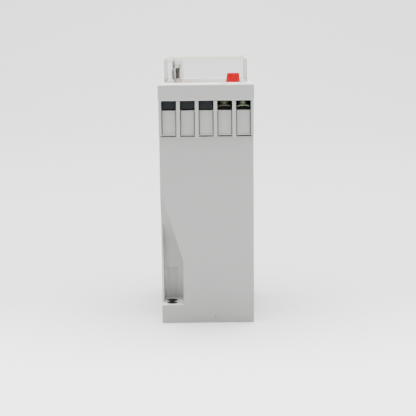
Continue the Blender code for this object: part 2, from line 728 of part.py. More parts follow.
def build_selector(name, body_name, y, finish):
    """A slotted rotary selector and the small switch under it."""
    x = SELECTOR_X
    foot = FRONT_BOARD_TOP + GAP
    deck = foot + SWITCH_HEIGHT
    half = SWITCH_SIDE / 2
    body = box(body_name, (x - half, y - half, foot), (x + half, y + half, deck), "dark_plastic", 0.4)
    cut(body, post(body_name + "_bore", (x, y), foot + 3, deck + 1, 1.8, sides=16))
    top = PANEL_TOP + 0.5
    profile = [
        (0, foot + 3 + GAP),
        (1.5, foot + 3 + GAP),
        (1.5, deck + GAP),
        (SELECTOR_RADIUS, deck + GAP),
        (SELECTOR_RADIUS, top - 0.3),
        (SELECTOR_RADIUS - 0.3, top),
        (0, top),
    ]
    rotor = turned(name, profile, (x, y), finish)
    slot_low = (x - SELECTOR_RADIUS - 1, y - 0.45, top - 1.0)
    cut(rotor, box(name + "_slot", slot_low, (x + SELECTOR_RADIUS - 0.5, y + 0.45, top + 1)))


def build_lamp(name, centre, finish):
    """A 3 mm lamp on two leads."""
    x, y = centre
    base = PANEL_TOP - 4.0
    shoulder = PANEL_TOP - 0.2
    crown = shoulder + LED_RADIUS
    bows = [math.radians(angle) for angle in (0, 30, 60)]
    dome = [(LED_RADIUS * math.cos(bow), shoulder + LED_RADIUS * math.sin(bow)) for bow in bows]
    lamp = turned(name, [(0, base), (LED_RADIUS, base), *dome, (0, crown)], centre, finish, sides=16)
    foot = FRONT_BOARD_TOP + GAP
    leads = [
        ((lead - 0.25, y - 0.25, foot), (lead + 0.25, y + 0.25, base + 1)) for lead in (x - 0.8, x + 0.8)
    ]
    join(lamp, boxes(name + "_leads", leads))


def build_terminal_block(name, end, live):
    """The dark insulator under one row of terminals. Its plugs close the cells that hold no terminal."""
    half_w = CAVITY_WIDTH / 2 - GAP
    inner, outer = INSIDE_LENGTH / 2 + CAP_WALL / 2, CAVITY_LENGTH / 2 - GAP

    def span(y_in, y_out, low, high, x_low, x_high):
        ys = sorted((end * y_in, end * y_out))
        return (x_low, ys[0], low), (x_high, ys[1], high)

    foot = BLOCK_TOP - BLOCK_HEIGHT
    block = box(name, *span(inner, outer, foot, BLOCK_TOP, -half_w, half_w), "dark_plastic")
    half_cell = CELL_WIDTH / 2 - GAP
    blanks = [cell_x(index) for index in range(CELLS) if index not in live]
    plugs = [(middle - half_cell, middle + half_cell) for middle in blanks]
    top = CEILING - GAP
    back, front = CHAMBER_BACK + GAP, CHAMBER_FRONT - 1.0
    stems = boxes(name + "_stems", [span(back, outer, BLOCK_TOP - 1, top, *plug) for plug in plugs])
    noses = boxes(name + "_noses", [span(outer - 1, front, SILL + GAP, top, *plug) for plug in plugs])
    join(block, stems, noses)
    mesh = bmesh.new()
    for index in live:
        x, y = cell_x(index), end * SCREW_Y
        add_rod(mesh, (x, y, foot - 1), (x, y, BLOCK_TOP + 1), SCREW_SHANK_RADIUS + GAP, 16)
    cut(block, place(name + "_bores", mesh))


def build_terminal(label, end, index):
    """One terminal: the busbar from the board, the clamp plate and the slotted screw."""
    x, y = cell_x(index), end * SCREW_Y
    tab_in = FRONT_BOARD_LENGTH / 2 + GAP
    half = CELL_WIDTH / 2 - BUSBAR_MARGIN
    tip = CAVITY_LENGTH / 2 + 2 * GAP
    bend = CAVITY_LENGTH / 2 - 2 * GAP
    outline = [
        (tab_in, FRONT_BOARD_BOTTOM),
        (tab_in, BUSBAR_BOTTOM + BUSBAR_THICK),
        (tip, BUSBAR_BOTTOM + BUSBAR_THICK),
        (tip, SILL + GAP),
        (bend, SILL + GAP),
        (bend, BUSBAR_BOTTOM),
        (tab_in + BUSBAR_THICK, BUSBAR_BOTTOM),
        (tab_in + BUSBAR_THICK, FRONT_BOARD_BOTTOM),
    ]
    mesh = bmesh.new()
    add_prism(mesh, [(end * point, z) for point, z in outline], "X", x - half, x + half)
    busbar = place(f"{label}_busbar", mesh, "brass")
    hole_top = CLAMP_BOTTOM + CLAMP_THICK + 1
    hole = post(f"{label}_hole", (x, y), BUSBAR_BOTTOM - 1, hole_top, SCREW_SHANK_RADIUS + GAP, sides=16)
    cut(busbar, hole)
    reach_x, reach_y = CELL_WIDTH / 2 - CLAMP_MARGIN, CLAMP_LENGTH / 2
    clamp = box(
        f"{label}_clamp_plate",
        (x - reach_x, y - reach_y, CLAMP_BOTTOM),
        (x + reach_x, y + reach_y, CLAMP_BOTTOM + CLAMP_THICK),
        "plated_steel",
        0.25,
    )
    cut(clamp, hole)
    foot = BLOCK_TOP - BLOCK_HEIGHT + GAP
    top = HEAD_BOTTOM + SCREW_HEAD_HEIGHT
    profile = [
        (0, foot),
        (SCREW_SHANK_RADIUS, foot),
        (SCREW_SHANK_RADIUS, HEAD_BOTTOM),
        (SCREW_HEAD_RADIUS, HEAD_BOTTOM),
        (SCREW_HEAD_RADIUS, top - 1.0),
        (SCREW_HEAD_RADIUS - 0.5, top - 0.3),
        (1.2, top),
        (0, top),
    ]
    screw = turned(f"{label}_screw", profile, (x, y), "plated_steel", sides=20)
    turn = Matrix.Rotation(math.radians(20 + 35 * index), 4, "Z")
    mesh = bmesh.new()
    reach = SCREW_HEAD_RADIUS + 1
    slot = add_box(mesh, (-reach, -0.45, top - 1.1), (reach, 0.45, top + 1))
    bmesh.ops.transform(mesh, matrix=Matrix.Translation((x, y, 0)) @ turn, verts=slot)
    cut(screw, place(f"{label}_slot", mesh))


def build_boards():
    """The front board under the panel, the upright main board and the pin header between them."""
    half_w = CAVITY_WIDTH / 2 - GAP
    box(
        "front_board",
        (-half_w, -FRONT_BOARD_LENGTH / 2, FRONT_BOARD_BOTTOM),
        (half_w, FRONT_BOARD_LENGTH / 2, FRONT_BOARD_TOP),
        "board_green",
    )
    main = box(
        "main_board",
        (-BOARD_THICK / 2, -BOARD_LENGTH / 2, BOARD_FOOT),
        (BOARD_THICK / 2, BOARD_LENGTH / 2, BOARD_HEAD),
        "board_green",
    )
    pads = bmesh.new()
    for y in (HOLE_FROM_END - BOARD_LENGTH / 2, BOARD_LENGTH / 2 - HOLE_FROM_END):
        add_rod(pads, (-3, y, BOARD_FOOT + 4), (3, y, BOARD_FOOT + 4), 1.6, 16)
    cut(main, place("board_holes", pads))
    long, thick = HEADER_SIZE
    box(
        "board_header",
        (-thick / 2, -long / 2, BOARD_HEAD + GAP),
        (thick / 2, long / 2, FRONT_BOARD_BOTTOM - GAP),
        "dark_plastic",
        0.4,
    )


def ring(name, low, high, wall_y, wall_x, finish):
    """A rectangular tube along Z."""
    piece = box(name, low, high, finish)
    hole_low = (low[0] + wall_x, low[1] + wall_y, low[2] - 1)
    hole_high = (high[0] - wall_x, high[1] - wall_y, high[2] + 1)
    return cut(piece, box(name + "_hole", hole_low, hole_high))


def build_transformer():
    """A laminated core, its two-flange bobbin and two windings, on the -X side of the main board."""
    stack, wide, tall = 10.0, 28.0, 24.0
    leg, yoke = 8.0, 4.0
    x0, y0, z0 = -BOARD_FACE - 4.2 - stack, -6.0, BOARD_FOOT + 3.0
    middle_y, middle_x = y0 + wide / 2, x0 + stack / 2
    core = box("transformer_core", (x0, y0, z0), (x0 + stack, y0 + wide, z0 + tall), "iron", 0.3)
    window = (wide - leg - 2 * yoke) / 2
    windows = boxes(
        "core_windows",
        [
            ((x0 - 1, start, z0 + yoke), (x0 + stack + 1, start + window, z0 + tall - yoke))
            for start in (y0 + yoke, y0 + wide - yoke - window)
        ],
    )
    cut(core, windows)

    former = 0.8
    inner_y, inner_x = leg / 2 + GAP, stack / 2 + GAP
    tube_y, tube_x = inner_y + former, inner_x + former
    flange_y, flange_x = leg / 2 + window - GAP, stack / 2 + 4.0
    low_z, high_z = z0 + yoke + GAP, z0 + tall - yoke - GAP
    mid_z = z0 + tall * 0.52
    at = Vector((middle_x, middle_y, 0))

    def corners(half_x, half_y, low, high):
        return at + Vector((-half_x, -half_y, low)), at + Vector((half_x, half_y, high))

    bobbin = box("transformer_bobbin", *corners(tube_x, tube_y, low_z, high_z), "dark_plastic")
    flanges = boxes(
        "bobbin_flanges",
        [
            corners(flange_x, flange_y, low, low + former)
            for low in (low_z, mid_z - former / 2, high_z - former)
        ],
    )
    join(bobbin, flanges)
    cut(bobbin, box("bobbin_hole", *corners(inner_x, inner_y, low_z - 1, high_z + 1)))
    wall_x, wall_y = flange_x - tube_x - 2 * GAP, flange_y - tube_y - 2 * GAP
    for name, low, high in (
        ("transformer_primary_winding", low_z + former, mid_z - former / 2),
        ("transformer_secondary_winding", mid_z + former / 2, high_z - former),
    ):
        outer = corners(flange_x - GAP, flange_y - GAP, low + GAP, high - GAP)
        ring(name, *outer, wall_y, wall_x, "copper")


def build_relay():
    """A relay under its own cover, on the +X side of the main board. Its armature turns about +Z."""
    x0 = BOARD_FACE
    y0, length = 9.0 - BOARD_LENGTH / 2, 21.5
    z0, wide = BOARD_FOOT + 29.0, 13.0
    height = 18.4
    middle = z0 + wide / 2
    deck = x0 + 2.0
    box("relay_base", (x0, y0, z0), (deck, y0 + length, z0 + wide), "dark_plastic", 0.2)
    cover_low = (deck + GAP, y0, z0)
    cover = box("relay_cover", cover_low, (x0 + height, y0 + length, z0 + wide), "clear_plastic", 0.3)
    wall = 0.8
    hollow = box(
        "relay_hollow",
        (deck - 1, y0 + wall, z0 + wall),
        (x0 + height - wall, y0 + length - wall, z0 + wide - wall),
    )
    cut(cover, hollow)

    coil_x = deck + 6.6
    coil_start, coil_end = y0 + 2.4, y0 + 15.6

    def spool(name, start, end, radius, finish=None, sides=16):
        return rod(name, (coil_x, start, middle), (coil_x, end, middle), radius, finish, sides)

    bobbin = spool("relay_bobbin", coil_start, coil_end, 2.7, "dark_plastic")
    flange_near = spool("relay_flange_near", coil_start, coil_start + 0.8, 4.9)
    join(bobbin, flange_near, spool("relay_flange_far", coil_end - 0.8, coil_end, 4.9))
    cut(bobbin, spool("relay_bobbin_bore", y0, coil_end + 1, 1.9))
    winding = spool("relay_winding", coil_start + 0.8 + GAP, coil_end - 0.8 - GAP, 4.4, "copper", 20)
    cut(winding, spool("winding_bore", y0, coil_end + 1, 3.0))

    frame_half, plate = 3.4, 1.0
    frame_top = coil_x + 5.2
    core_end = y0 + 16.6
    yoke = box(
        "relay_yoke",
        (coil_x - 3.0, y0 + wall + GAP, middle - frame_half),
        (frame_top + plate, y0 + wall + GAP + plate, middle + frame_half),
        "iron",
    )
    arm = box(
        "yoke_arm",
        (frame_top, y0 + wall + GAP + plate / 2, middle - frame_half),
        (frame_top + plate, core_end, middle + frame_half),
    )
    pole = spool("yoke_pole", y0 + wall + GAP + plate / 2, core_end, 1.6)
    join(yoke, arm, pole)

    face = core_end + 0.4
    hinge = bpy.data.objects.new("armature_axis", None)
    bpy.context.scene.collection.objects.link(hinge)
    hinge.location = Vector((frame_top + plate / 2, face, middle)) * METRES
    armature = box(
        "relay_armature",
        (coil_x - 3.5, face, middle - frame_half + GAP),
        (frame_top + plate, face + 0.9, middle + frame_half - GAP),
        "iron",
        0.15,
    )
    blade = box(
        "relay_moving_contact",
        (deck + GAP, face + 0.9 + GAP, middle - 1.8),
        (coil_x, face + 1.5, middle + 1.8),
        "brass",
    )
    bump = rod(
        "contact_bump", (deck + 1.3, face + 0.6, middle), (deck + 1.3, face + 1.9, middle), 0.9, sides=12
    )
    join(blade, bump)
    for piece in (armature, blade, bump):
        piece.parent = hinge
        piece.matrix_parent_inverse = Matrix.Translation(-hinge.location)
    for name, start in (("relay_contact_open", face - 0.75), ("relay_contact_closed", face + 2.3)):
        reach = deck + 2.8
        box(name, (deck + GAP, start, middle - 1.8), (reach, start + 0.5, middle + 1.8), "brass")


def build_components():
    """The parts that stand on the main board."""
    row = BOARD_HEAD - 14.0
    left, right = -BOARD_FACE, BOARD_FACE
    can_y = BOARD_LENGTH / 2 - 11.0
    can = rod("filter_capacitor", (left, can_y, row), (left - 17.0, can_y, row), 5.0, "component_blue")
    cut(can, box("vent_cross", (left - 18.0, can_y - 3.5, row - 0.3), (left - 16.6, can_y + 3.5, row + 0.3)))
    film_low, film_high = (right, can_y - 10.0, row - 4.0), (right + 9.0, can_y + 3.0, row + 2.0)
    box("timing_capacitor", film_low, film_high, "component_ochre", 0.5)
    disc_x, disc_y = left - 7.5, 17.0 - BOARD_LENGTH / 2
    varistor = rod("varistor", (disc_x, disc_y, row), (disc_x, disc_y + 4.0, row), 5.6, "component_blue")
    lead_y = disc_y + 2.0
    leads = [
        ((left - 4.0, lead_y - 0.4, z - 0.4), (left, lead_y + 0.4, z + 0.4)) for z in (row - 2.5, row + 2.5)
    ]
    join(varistor, boxes("varistor_leads", leads))
    chip_y = can_y - 34.0
    chip_low, chip_high = (right + 0.9, chip_y, row - 3.2), (right + 4.2, chip_y + 19.0, row + 3.2)
    chip = box("timer_chip", chip_low, chip_high, "dark_plastic", 0.2)
    pins = [
        ((right, y, line - 0.9), (right + 2.2, y + 0.5, line + 0.9))
        for y in [chip_y + 1.0 + 2.54 * index for index in range(7)]
        for line in (row - 3.8, row + 3.8)
    ]
    join(chip, boxes("chip_pins", pins))
    box("bridge_rectifier", (left - 7.0, -2.0, row - 4), (left, 6.0, row + 4), "dark_plastic", 0.6)
    mesh = bmesh.new()
    fuse_y = HOLE_FROM_END - BOARD_LENGTH / 2
    add_rod(mesh, (right + 4.0, fuse_y, row - 7), (right + 4.0, fuse_y, row + 7), 2.2, 16)
    fuse = place("fuse_resistor", mesh, "component_ochre")
    leads = boxes(
        "fuse_leads",
        [
            ((right, fuse_y - 0.4, row - 6.4), (right + 4.0, fuse_y + 0.4, row - 5.6)),
            ((right, fuse_y - 0.4, row + 5.6), (right + 4.0, fuse_y + 0.4, row + 6.4)),
        ],
    )
    join(round_off(fuse), leads)
    box(
        "insulating_sheet",
        (-BODY_WIDTH / 2 + BODY_WALL + GAP, -6.0, FLOOR_TOP + GAP),
        (-BODY_WIDTH / 2 + BODY_WALL + 2 * GAP, BODY_LENGTH / 2 - BODY_WALL - 1, FLOOR_TOP + 40.0),
        "light_grey",
    )


def build_latch():
    """The sliding rail latch with its pull slot, and the coil spring that pushes it shut."""
    half = LATCH_WIDTH / 2
    nose = GROOVE_HALF - HOOK_REACH + 0.2
    tail = BODY_LENGTH / 2 + LATCH_TAB
    mesh = bmesh.new()
    outline = [
        (nose + 1.8, LATCH_BOTTOM), (nose, LATCH_TOP - 1.2), (nose, LATCH_TOP), (tail, LATCH_TOP),
        (tail, LATCH_BOTTOM),
    ]
    add_prism(mesh, outline, "X", -half, half)
    latch = place("rail_latch", mesh, "dark_plastic")
    slot_y = BODY_LENGTH / 2 - 1.6
    pull_slot = box(
        "pull_slot", (-half / 2, slot_y, LATCH_BOTTOM - 1), (half / 2, slot_y + 1.6, LATCH_TOP + 1)
    )
    bay = box("spring_bay", (-BAY_HALF, BAY_START, LATCH_BOTTOM - 1), (BAY_HALF, BAY_END, LATCH_TOP + 1))
    cut(latch, pull_slot, bay)

    run = SPRING_BAY - SPRING_STOP - 3 * GAP - SPRING_WIRE
    centre_z = (LATCH_BOTTOM + LATCH_TOP) / 2
    steps = 7
    curve = bpy.data.curves.new("latch_spring", "CURVE")
    curve.dimensions = "3D"
    curve.bevel_depth = SPRING_WIRE / 2 * METRES
    curve.bevel_resolution = 1
    curve.use_fill_caps = True
    line = curve.splines.new("POLY")
    count = SPRING_TURNS * steps + 1
    line.points.add(count - 1)
    for i in range(count):
        angle = math.tau * i / steps
        along = BAY_START + GAP + SPRING_WIRE / 2 + run * i / (count - 1)
        spot = Vector((SPRING_RADIUS * math.cos(angle), along, centre_z + SPRING_RADIUS * math.sin(angle)))
        line.points[i].co = (*(spot * METRES), 1.0)
    spring = bpy.data.objects.new("latch_spring", curve)
    curve.materials.append(look("bright_steel"))
    bpy.context.scene.collection.objects.link(spring)


def main():
    """Clears the scene and builds the timer from the housing inwards."""
    for piece in list(bpy.data.objects):
        bpy.data.objects.remove(piece)
    build_base_housing()
    build_front_cap()
    build_front_panel()
    build_clear_lid()
    build_lock()
    build_time_setting()
    build_selector("range_selector", "range_switch", SELECTOR_Y, "light_grey")
    build_selector("function_selector", "function_switch", -SELECTOR_Y, "light_grey")
    build_lamp("power_lamp", POWER_LED, "led_green")
    build_lamp("output_lamp", OUTPUT_LED, "led_yellow")
    build_terminal_block("supply_terminal_block", -1, SUPPLY_CELLS)
    build_terminal_block("contact_terminal_block", 1, CONTACT_CELLS)
    for number, index in enumerate(SUPPLY_CELLS, 1):
        build_terminal(f"supply_{number}", -1, index)
    for number, index in enumerate(CONTACT_CELLS, 1):
        build_terminal(f"contact_{number}", 1, index)
    build_boards()
    build_transformer()
    build_relay()
    build_components()
    build_latch()


if __name__ == "__main__":
    main()
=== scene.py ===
"""A time relay for a mounting rail: its finishes and fine shapes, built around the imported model.

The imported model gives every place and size. Each sub-assembly is a class here. It softens, details or
replaces the plain solids of its own nodes, and dresses them in procedural finishes. Lengths are in
millimetres until a form is made an object, which is in metres.
"""

import json
import logging
import math
from collections.abc import Callable, Sequence
from dataclasses import dataclass, field
from enum import Enum

import bmesh
import bpy
from mathutils import Matrix, Vector


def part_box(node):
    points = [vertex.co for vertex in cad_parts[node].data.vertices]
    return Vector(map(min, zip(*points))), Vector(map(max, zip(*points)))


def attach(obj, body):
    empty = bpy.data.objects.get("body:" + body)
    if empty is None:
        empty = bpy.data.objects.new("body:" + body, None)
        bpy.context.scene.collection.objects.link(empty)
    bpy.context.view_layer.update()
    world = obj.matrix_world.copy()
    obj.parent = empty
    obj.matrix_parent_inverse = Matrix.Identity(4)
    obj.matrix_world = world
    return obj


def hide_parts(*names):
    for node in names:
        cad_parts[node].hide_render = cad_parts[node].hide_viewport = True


MM = 0.001
CLOSE = 0.02
UP = (0.0, 0.0, 1.0)
LOG = logging.getLogger("time_relay")

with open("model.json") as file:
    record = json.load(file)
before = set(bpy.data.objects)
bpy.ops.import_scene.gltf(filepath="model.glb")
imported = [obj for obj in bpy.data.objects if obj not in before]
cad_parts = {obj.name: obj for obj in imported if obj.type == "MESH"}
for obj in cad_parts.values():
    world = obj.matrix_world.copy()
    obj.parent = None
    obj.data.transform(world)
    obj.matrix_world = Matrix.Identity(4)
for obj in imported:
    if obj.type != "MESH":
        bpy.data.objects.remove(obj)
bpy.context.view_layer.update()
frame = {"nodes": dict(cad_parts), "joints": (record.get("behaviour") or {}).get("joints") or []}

Colour = tuple[float, float, float]
Point = tuple[float, float, float]


class Axis(Enum):
    """A direction of the object's frame, by its place in a vector."""

    X = 0
    Y = 1
    Z = 2


class End(Enum):
    """An end of the device, by the sign of its Y."""

    SUPPLY = -1
    CONTACT = 1


# ---------------------------------------------------------------- shader maths


class Value:
    """A number in a material's nodes. Arithmetic on it adds Math nodes."""

    def __init__(self, graph: "Graph", socket: bpy.types.NodeSocket) -> None:
        """Wraps a socket.

        Args:
            graph: the material's nodes.
            socket: the output that holds the number.
        """
        self.graph = graph
        self.socket = socket

    def _math(self, operation: str, first: "Number", second: "Number") -> "Value":
        """Adds one Math node.

        Args:
            operation: the node's operation.
            first: its first input.
            second: its second input.

        Returns:
            The node's result.
        """
        node = self.graph.node("ShaderNodeMath", {"operation": operation}, {0: first, 1: second})
        return Value(self.graph, node.outputs[0])

    def __add__(self, other: "Number") -> "Value":
        """The sum."""
        return self._math("ADD", self, other)

    def __radd__(self, other: "Number") -> "Value":
        """The sum, with the number first."""
        return self._math("ADD", other, self)

    def __sub__(self, other: "Number") -> "Value":
        """The difference."""
        return self._math("SUBTRACT", self, other)

    def __rsub__(self, other: "Number") -> "Value":
        """The difference, with the number first."""
        return self._math("SUBTRACT", other, self)

    def __mul__(self, other: "Number") -> "Value":
        """The product."""
        return self._math("MULTIPLY", self, other)

    def __rmul__(self, other: "Number") -> "Value":
        """The product, with the number first."""
        return self._math("MULTIPLY", other, self)

    def __pow__(self, other: "Number") -> "Value":
        """The power."""
        return self._math("POWER", self, other)

    def sine(self) -> "Value":
        """The sine."""
        return self._math("SINE", self, 0.0)

    def absolute(self) -> "Value":
        """The size without its sign."""
        return self._math("ABSOLUTE", self, 0.0)

    def ramp(self, low: float, high: float) -> "Value":
        """Goes smoothly from 0 at low to 1 at high.

        Args:
            low: the number that gives 0.
            high: the number that gives 1.

        Returns:
            The eased number.
        """
        settings = {"interpolation_type": "SMOOTHSTEP"}
        inputs = {"Value": self, "From Min": low, "From Max": high}
        node = self.graph.node("ShaderNodeMapRange", settings, inputs)
        return Value(self.graph, node.outputs[0])


Number = Value | float
Input = Value | bpy.types.NodeSocket | float | tuple | Vector


class Graph:
    """The nodes of one material, with a Principled shader at their end."""

    def __init__(self, name: str) -> None:
        """Starts an empty material of this name."""
        self.material = bpy.data.materials.new(name)
        self.material.use_nodes = True
        self.tree = self.material.node_tree
        self.shader = self.tree.nodes["Principled BSDF"]
        self.output = self.tree.nodes["Material Output"]

    def node(
        self, kind: str, settings: dict[str, object] | None = None, inputs: dict | None = None
    ) -> bpy.types.Node:
        """Adds a node of any type.

        Args:
            kind: the node's type.
            settings: its own settings, set first.
            inputs: a value or a link for each named or numbered socket.

        Returns:
            The node.
        """
        node = self.tree.nodes.new(kind)
        for name, setting in (settings or {}).items():
            setattr(node, name, setting)
        for key, value in (inputs or {}).items():
            self.feed(node.inputs[key], value)
        return node

    def feed(self, socket: bpy.types.NodeSocket, value: Input) -> None:
        """Links a socket to a result, or sets its value.

        Args:
            socket: the socket.
            value: the result, or the plain value.
        """
        if isinstance(value, Value):
            self.tree.links.new(value.socket, socket)
        elif isinstance(value, bpy.types.NodeSocket):
            self.tree.links.new(value, socket)
        else:
            socket.default_value = value

    def shade(self, **inputs: Input) -> None:
        """Feeds the shader's sockets, each named with _ for a space."""
        for name, value in inputs.items():
            self.feed(self.shader.inputs[name.replace("_", " ")], value)

    def place(self, turn: Point = (0.0, 0.0, 0.0), stretch: Point = (1.0, 1.0, 1.0)) -> bpy.types.NodeSocket:
        """The surface's place on the object, turned and stretched.

        Args:
            turn: the turn about each axis, in radians.
            stretch: the scale along each axis.

        Returns:
            The vector socket.
        """
        where = self.node("ShaderNodeTexCoord").outputs["Object"]
        inputs = {"Vector": where, "Rotation": turn, "Scale": stretch}
        return self.node("ShaderNodeMapping", None, inputs).outputs[0]

    def along(self, axis: Axis) -> Value:
        """The surface's coordinate along one axis, in metres."""
        node = self.node("ShaderNodeSeparateXYZ", None, {0: self.place()})
        return Value(self, node.outputs[axis.value])

    def noise(self, size: float, detail: float = 2.0, where: bpy.types.NodeSocket | None = None) -> Value:
        """Soft noise from 0 to 1.

        Args:
            size: the width of its features, in millimetres.
            detail: how many finer layers it has.
            where: the place it reads, or None for the plain one.

        Returns:
            The noise.
        """
        inputs = {"Vector": where or self.place(), "Scale": 1 / (size * MM), "Detail": detail}
        return Value(self, self.node("ShaderNodeTexNoise", None, inputs).outputs[0])

    def mix(self, factor: Input, first: Input, second: Input) -> bpy.types.NodeSocket:
        """A colour between two others.

        Args:
            factor: 0 for the first, 1 for the second.
            first: the first colour.
            second: the second colour.

        Returns:
            The colour socket.
        """
        inputs = {0: factor, 6: solid(first), 7: solid(second)}
        return self.node("ShaderNodeMix", {"data_type": "RGBA"}, inputs).outputs[2]

    def wear(self) -> Value:
        """1 on a form's rubbed edges, -1 where shade is painted into its crevices (on the lid, its inner
        faces), 0 elsewhere.
        """
        node = self.node("ShaderNodeAttribute", {"attribute_name": Form.EDGE})
        return Value(self, node.outputs["Fac"])

    def bump(self, height: Value, depth: float, strength: float = 1.0) -> None:
        """Presses a relief into the surface.

        Args:
            height: the relief, from 0 to 1.
            depth: its depth in millimetres.
            strength: how much of it shows.
        """
        inputs = {"Height": height, "Distance": depth * MM, "Strength": strength}
        self.shade(Normal=self.node("ShaderNodeBump", None, inputs).outputs[0])


def solid(colour: Input) -> Input:
    """A plain colour with its alpha added; a link is left as it is."""
    return (*colour, 1.0) if isinstance(colour, tuple) and len(colour) == 3 else colour


def shaded(colour: Colour, share: float) -> Colour:
    """A colour made lighter or darker by a share of itself."""
    return tuple(min(1.0, channel * (1 + share)) for channel in colour)


# -------------------------------------------------------------------- finishes


@dataclass(frozen=True)
class Finish:
    """A finish, made a material once."""

    name: str
    colour: Colour

    def material(self) -> bpy.types.Material:
        """The material of this finish, made on first use."""
        if self.name not in bpy.data.materials:
            self.draw(Graph(self.name))
        return bpy.data.materials[self.name]

    def draw(self, graph: Graph) -> None:
        """Draws the finish's nodes."""
        raise NotImplementedError


@dataclass(frozen=True)
class MouldedPlastic(Finish):
    """An opaque moulding with a fine grain, slight cloudiness, edges rubbed smooth and painted shade on its
    faces marked -1.
    """

    roughness: float = 0.5
    grain: float = 0.35
    grain_depth: float = 0.02
    cloud: float = 0.03
    rub: float = 0.05
    coat: float = 0.0
    gloss: float = 0.5
    speck_cover: float = 0.35
    speck_shade: float = -0.12
    grime_shade: float = -0.88

    def draw(self, graph: Graph) -> None:
        """Draws the finish's nodes."""
        cloud = graph.noise(22.0, 3.0)
        fine = graph.noise(self.grain, 2.0)
        speck = graph.noise(1.6, 4.0).ramp(0.62, 0.8)
        tone = graph.mix(cloud, shaded(self.colour, -self.cloud), shaded(self.colour, self.cloud))
        tone = graph.mix(speck * self.speck_cover, tone, shaded(self.colour, self.speck_shade))
        edge = graph.wear()
        rubbed = edge.ramp(0.0, 1.0) * graph.noise(3.0, 3.0).ramp(0.3, 0.75)
        tone = graph.mix(rubbed, tone, shaded(self.colour, self.rub))
        # Painted shade: faces marked -1 are darkened almost to black, mottled by noise.
        painted_crevice_shade = (edge * -1).ramp(0.0, 1.0) * (graph.noise(2.0, 3.0) * 0.3 + 0.7)
        tone = graph.mix(painted_crevice_shade, tone, shaded(self.colour, self.grime_shade))
        graph.shade(Base_Color=tone, Coat_Weight=self.coat, Specular_IOR_Level=self.gloss)
        graph.shade(Roughness=self.roughness + (cloud - 0.5) * 0.12 + (fine - 0.5) * 0.08 - rubbed * 0.12)
        graph.bump(fine, self.grain_depth)


@dataclass(frozen=True)
class ScuffedPlastic(MouldedPlastic):
    """The case's moulding, with a dark scuff low on its front, painted shade in noisy patches over its lower
    part, and painted light on its inner faces low down.
    """

    recess: Colour = (0.64, 0.65, 0.62)
    half_width: float = 22.3
    half_length: float = 35.2
    skin_inner: float = 0.6
    skin_outer: float = 0.2
    recess_cover: float = 0.9
    recess_from: float = 18.0
    recess_to: float = 42.0
    scuff_at: Point = (0.0, 0.0, 0.0)
    scuff_size: Point = (0.6, 3.0, 1.5)
    scuff_cover: float = 0.8
    scuff_shade: float = -0.55
    dust_top: float = 30.0
    dust_cover: float = 0.16
    dust_shade: float = -0.28

    def within(self, graph: Graph, axis: Axis, half: float) -> Value:
        """1 between the case's two outer faces along an axis, 0 on them.

        Args:
            graph: the finish's graph.
            axis: the axis.
            half: half the case's size along it, in millimetres.

        Returns:
            The mask.
        """
        reach = graph.along(axis).absolute()
        return 1 - reach.ramp((half - self.skin_inner) * MM, (half - self.skin_outer) * MM)

    def draw(self, graph: Graph) -> None:
        """Draws the finish's nodes."""
        super().draw(graph)
        tone = graph.shader.inputs["Base Color"].links[0].from_socket
        # Painted light: faces set in from the case's outer walls, up to the cap, are made lighter, except
        # where shade is painted.
        inside = self.within(graph, Axis.X, self.half_width) * self.within(graph, Axis.Y, self.half_length)
        recess_lit = inside * (1 - graph.along(Axis.Z).ramp(self.recess_from * MM, self.recess_to * MM))
        unshaded = 1 - (graph.wear() * -1).ramp(0.0, 1.0)
        tone = graph.mix(recess_lit * unshaded * self.recess_cover, tone, self.recess)
        away = [
            (graph.along(axis) - centre * MM) * (1 / (size * MM))
            for axis, centre, size in zip(Axis, self.scuff_at, self.scuff_size)
        ]
        reach = (away[0] ** 2.0 + away[1] ** 2.0 + away[2] ** 2.0) ** 0.5
        mark = (1 - reach.ramp(0.2, 1.0)) * graph.noise(0.9, 3.0).ramp(0.25, 0.6)
        # Painted shade: the case gets darker towards the bottom, in noisy patches.
        low = 1 - graph.along(Axis.Z).ramp(0.0, self.dust_top * MM)
        painted_low_shade = low * graph.noise(9.0, 4.0) * self.dust_cover
        tone = graph.mix(painted_low_shade, tone, shaded(self.colour, self.dust_shade))
        tone = graph.mix(mark * self.scuff_cover, tone, shaded(self.colour, self.scuff_shade))
        graph.shade(Base_Color=tone)


@dataclass(frozen=True)
class BleachedPlastic(MouldedPlastic):
    """The cap's moulding, with painted light: paler at its top, where it faces the light, and on the walls
    inside its window.
    """

    pale: Colour = (0.7, 0.7, 0.67)
    inner_pale: Colour = (0.95, 0.95, 0.92)
    window: float = 24.0
    pale_from: float = 112.6
    pale_to: float = 115.25

    def draw(self, graph: Graph) -> None:
        """Draws the finish's nodes."""
        super().draw(graph)
        tone = graph.shader.inputs["Base Color"].links[0].from_socket
        # Painted light: the crown is made paler, the walls inside the window paler still.
        height = graph.along(Axis.Z)
        inner = height.ramp(self.pale_from * MM, (self.pale_from + 0.4) * MM)
        inner = inner * (1 - graph.along(Axis.Y).absolute().ramp(self.window * MM, (self.window + 0.5) * MM))
        crown = height.ramp((self.pale_to - 0.15) * MM, self.pale_to * MM)
        tone = graph.mix(crown, tone, self.pale)
        graph.shade(Base_Color=graph.mix(inner * (1 - crown), tone, self.inner_pale))


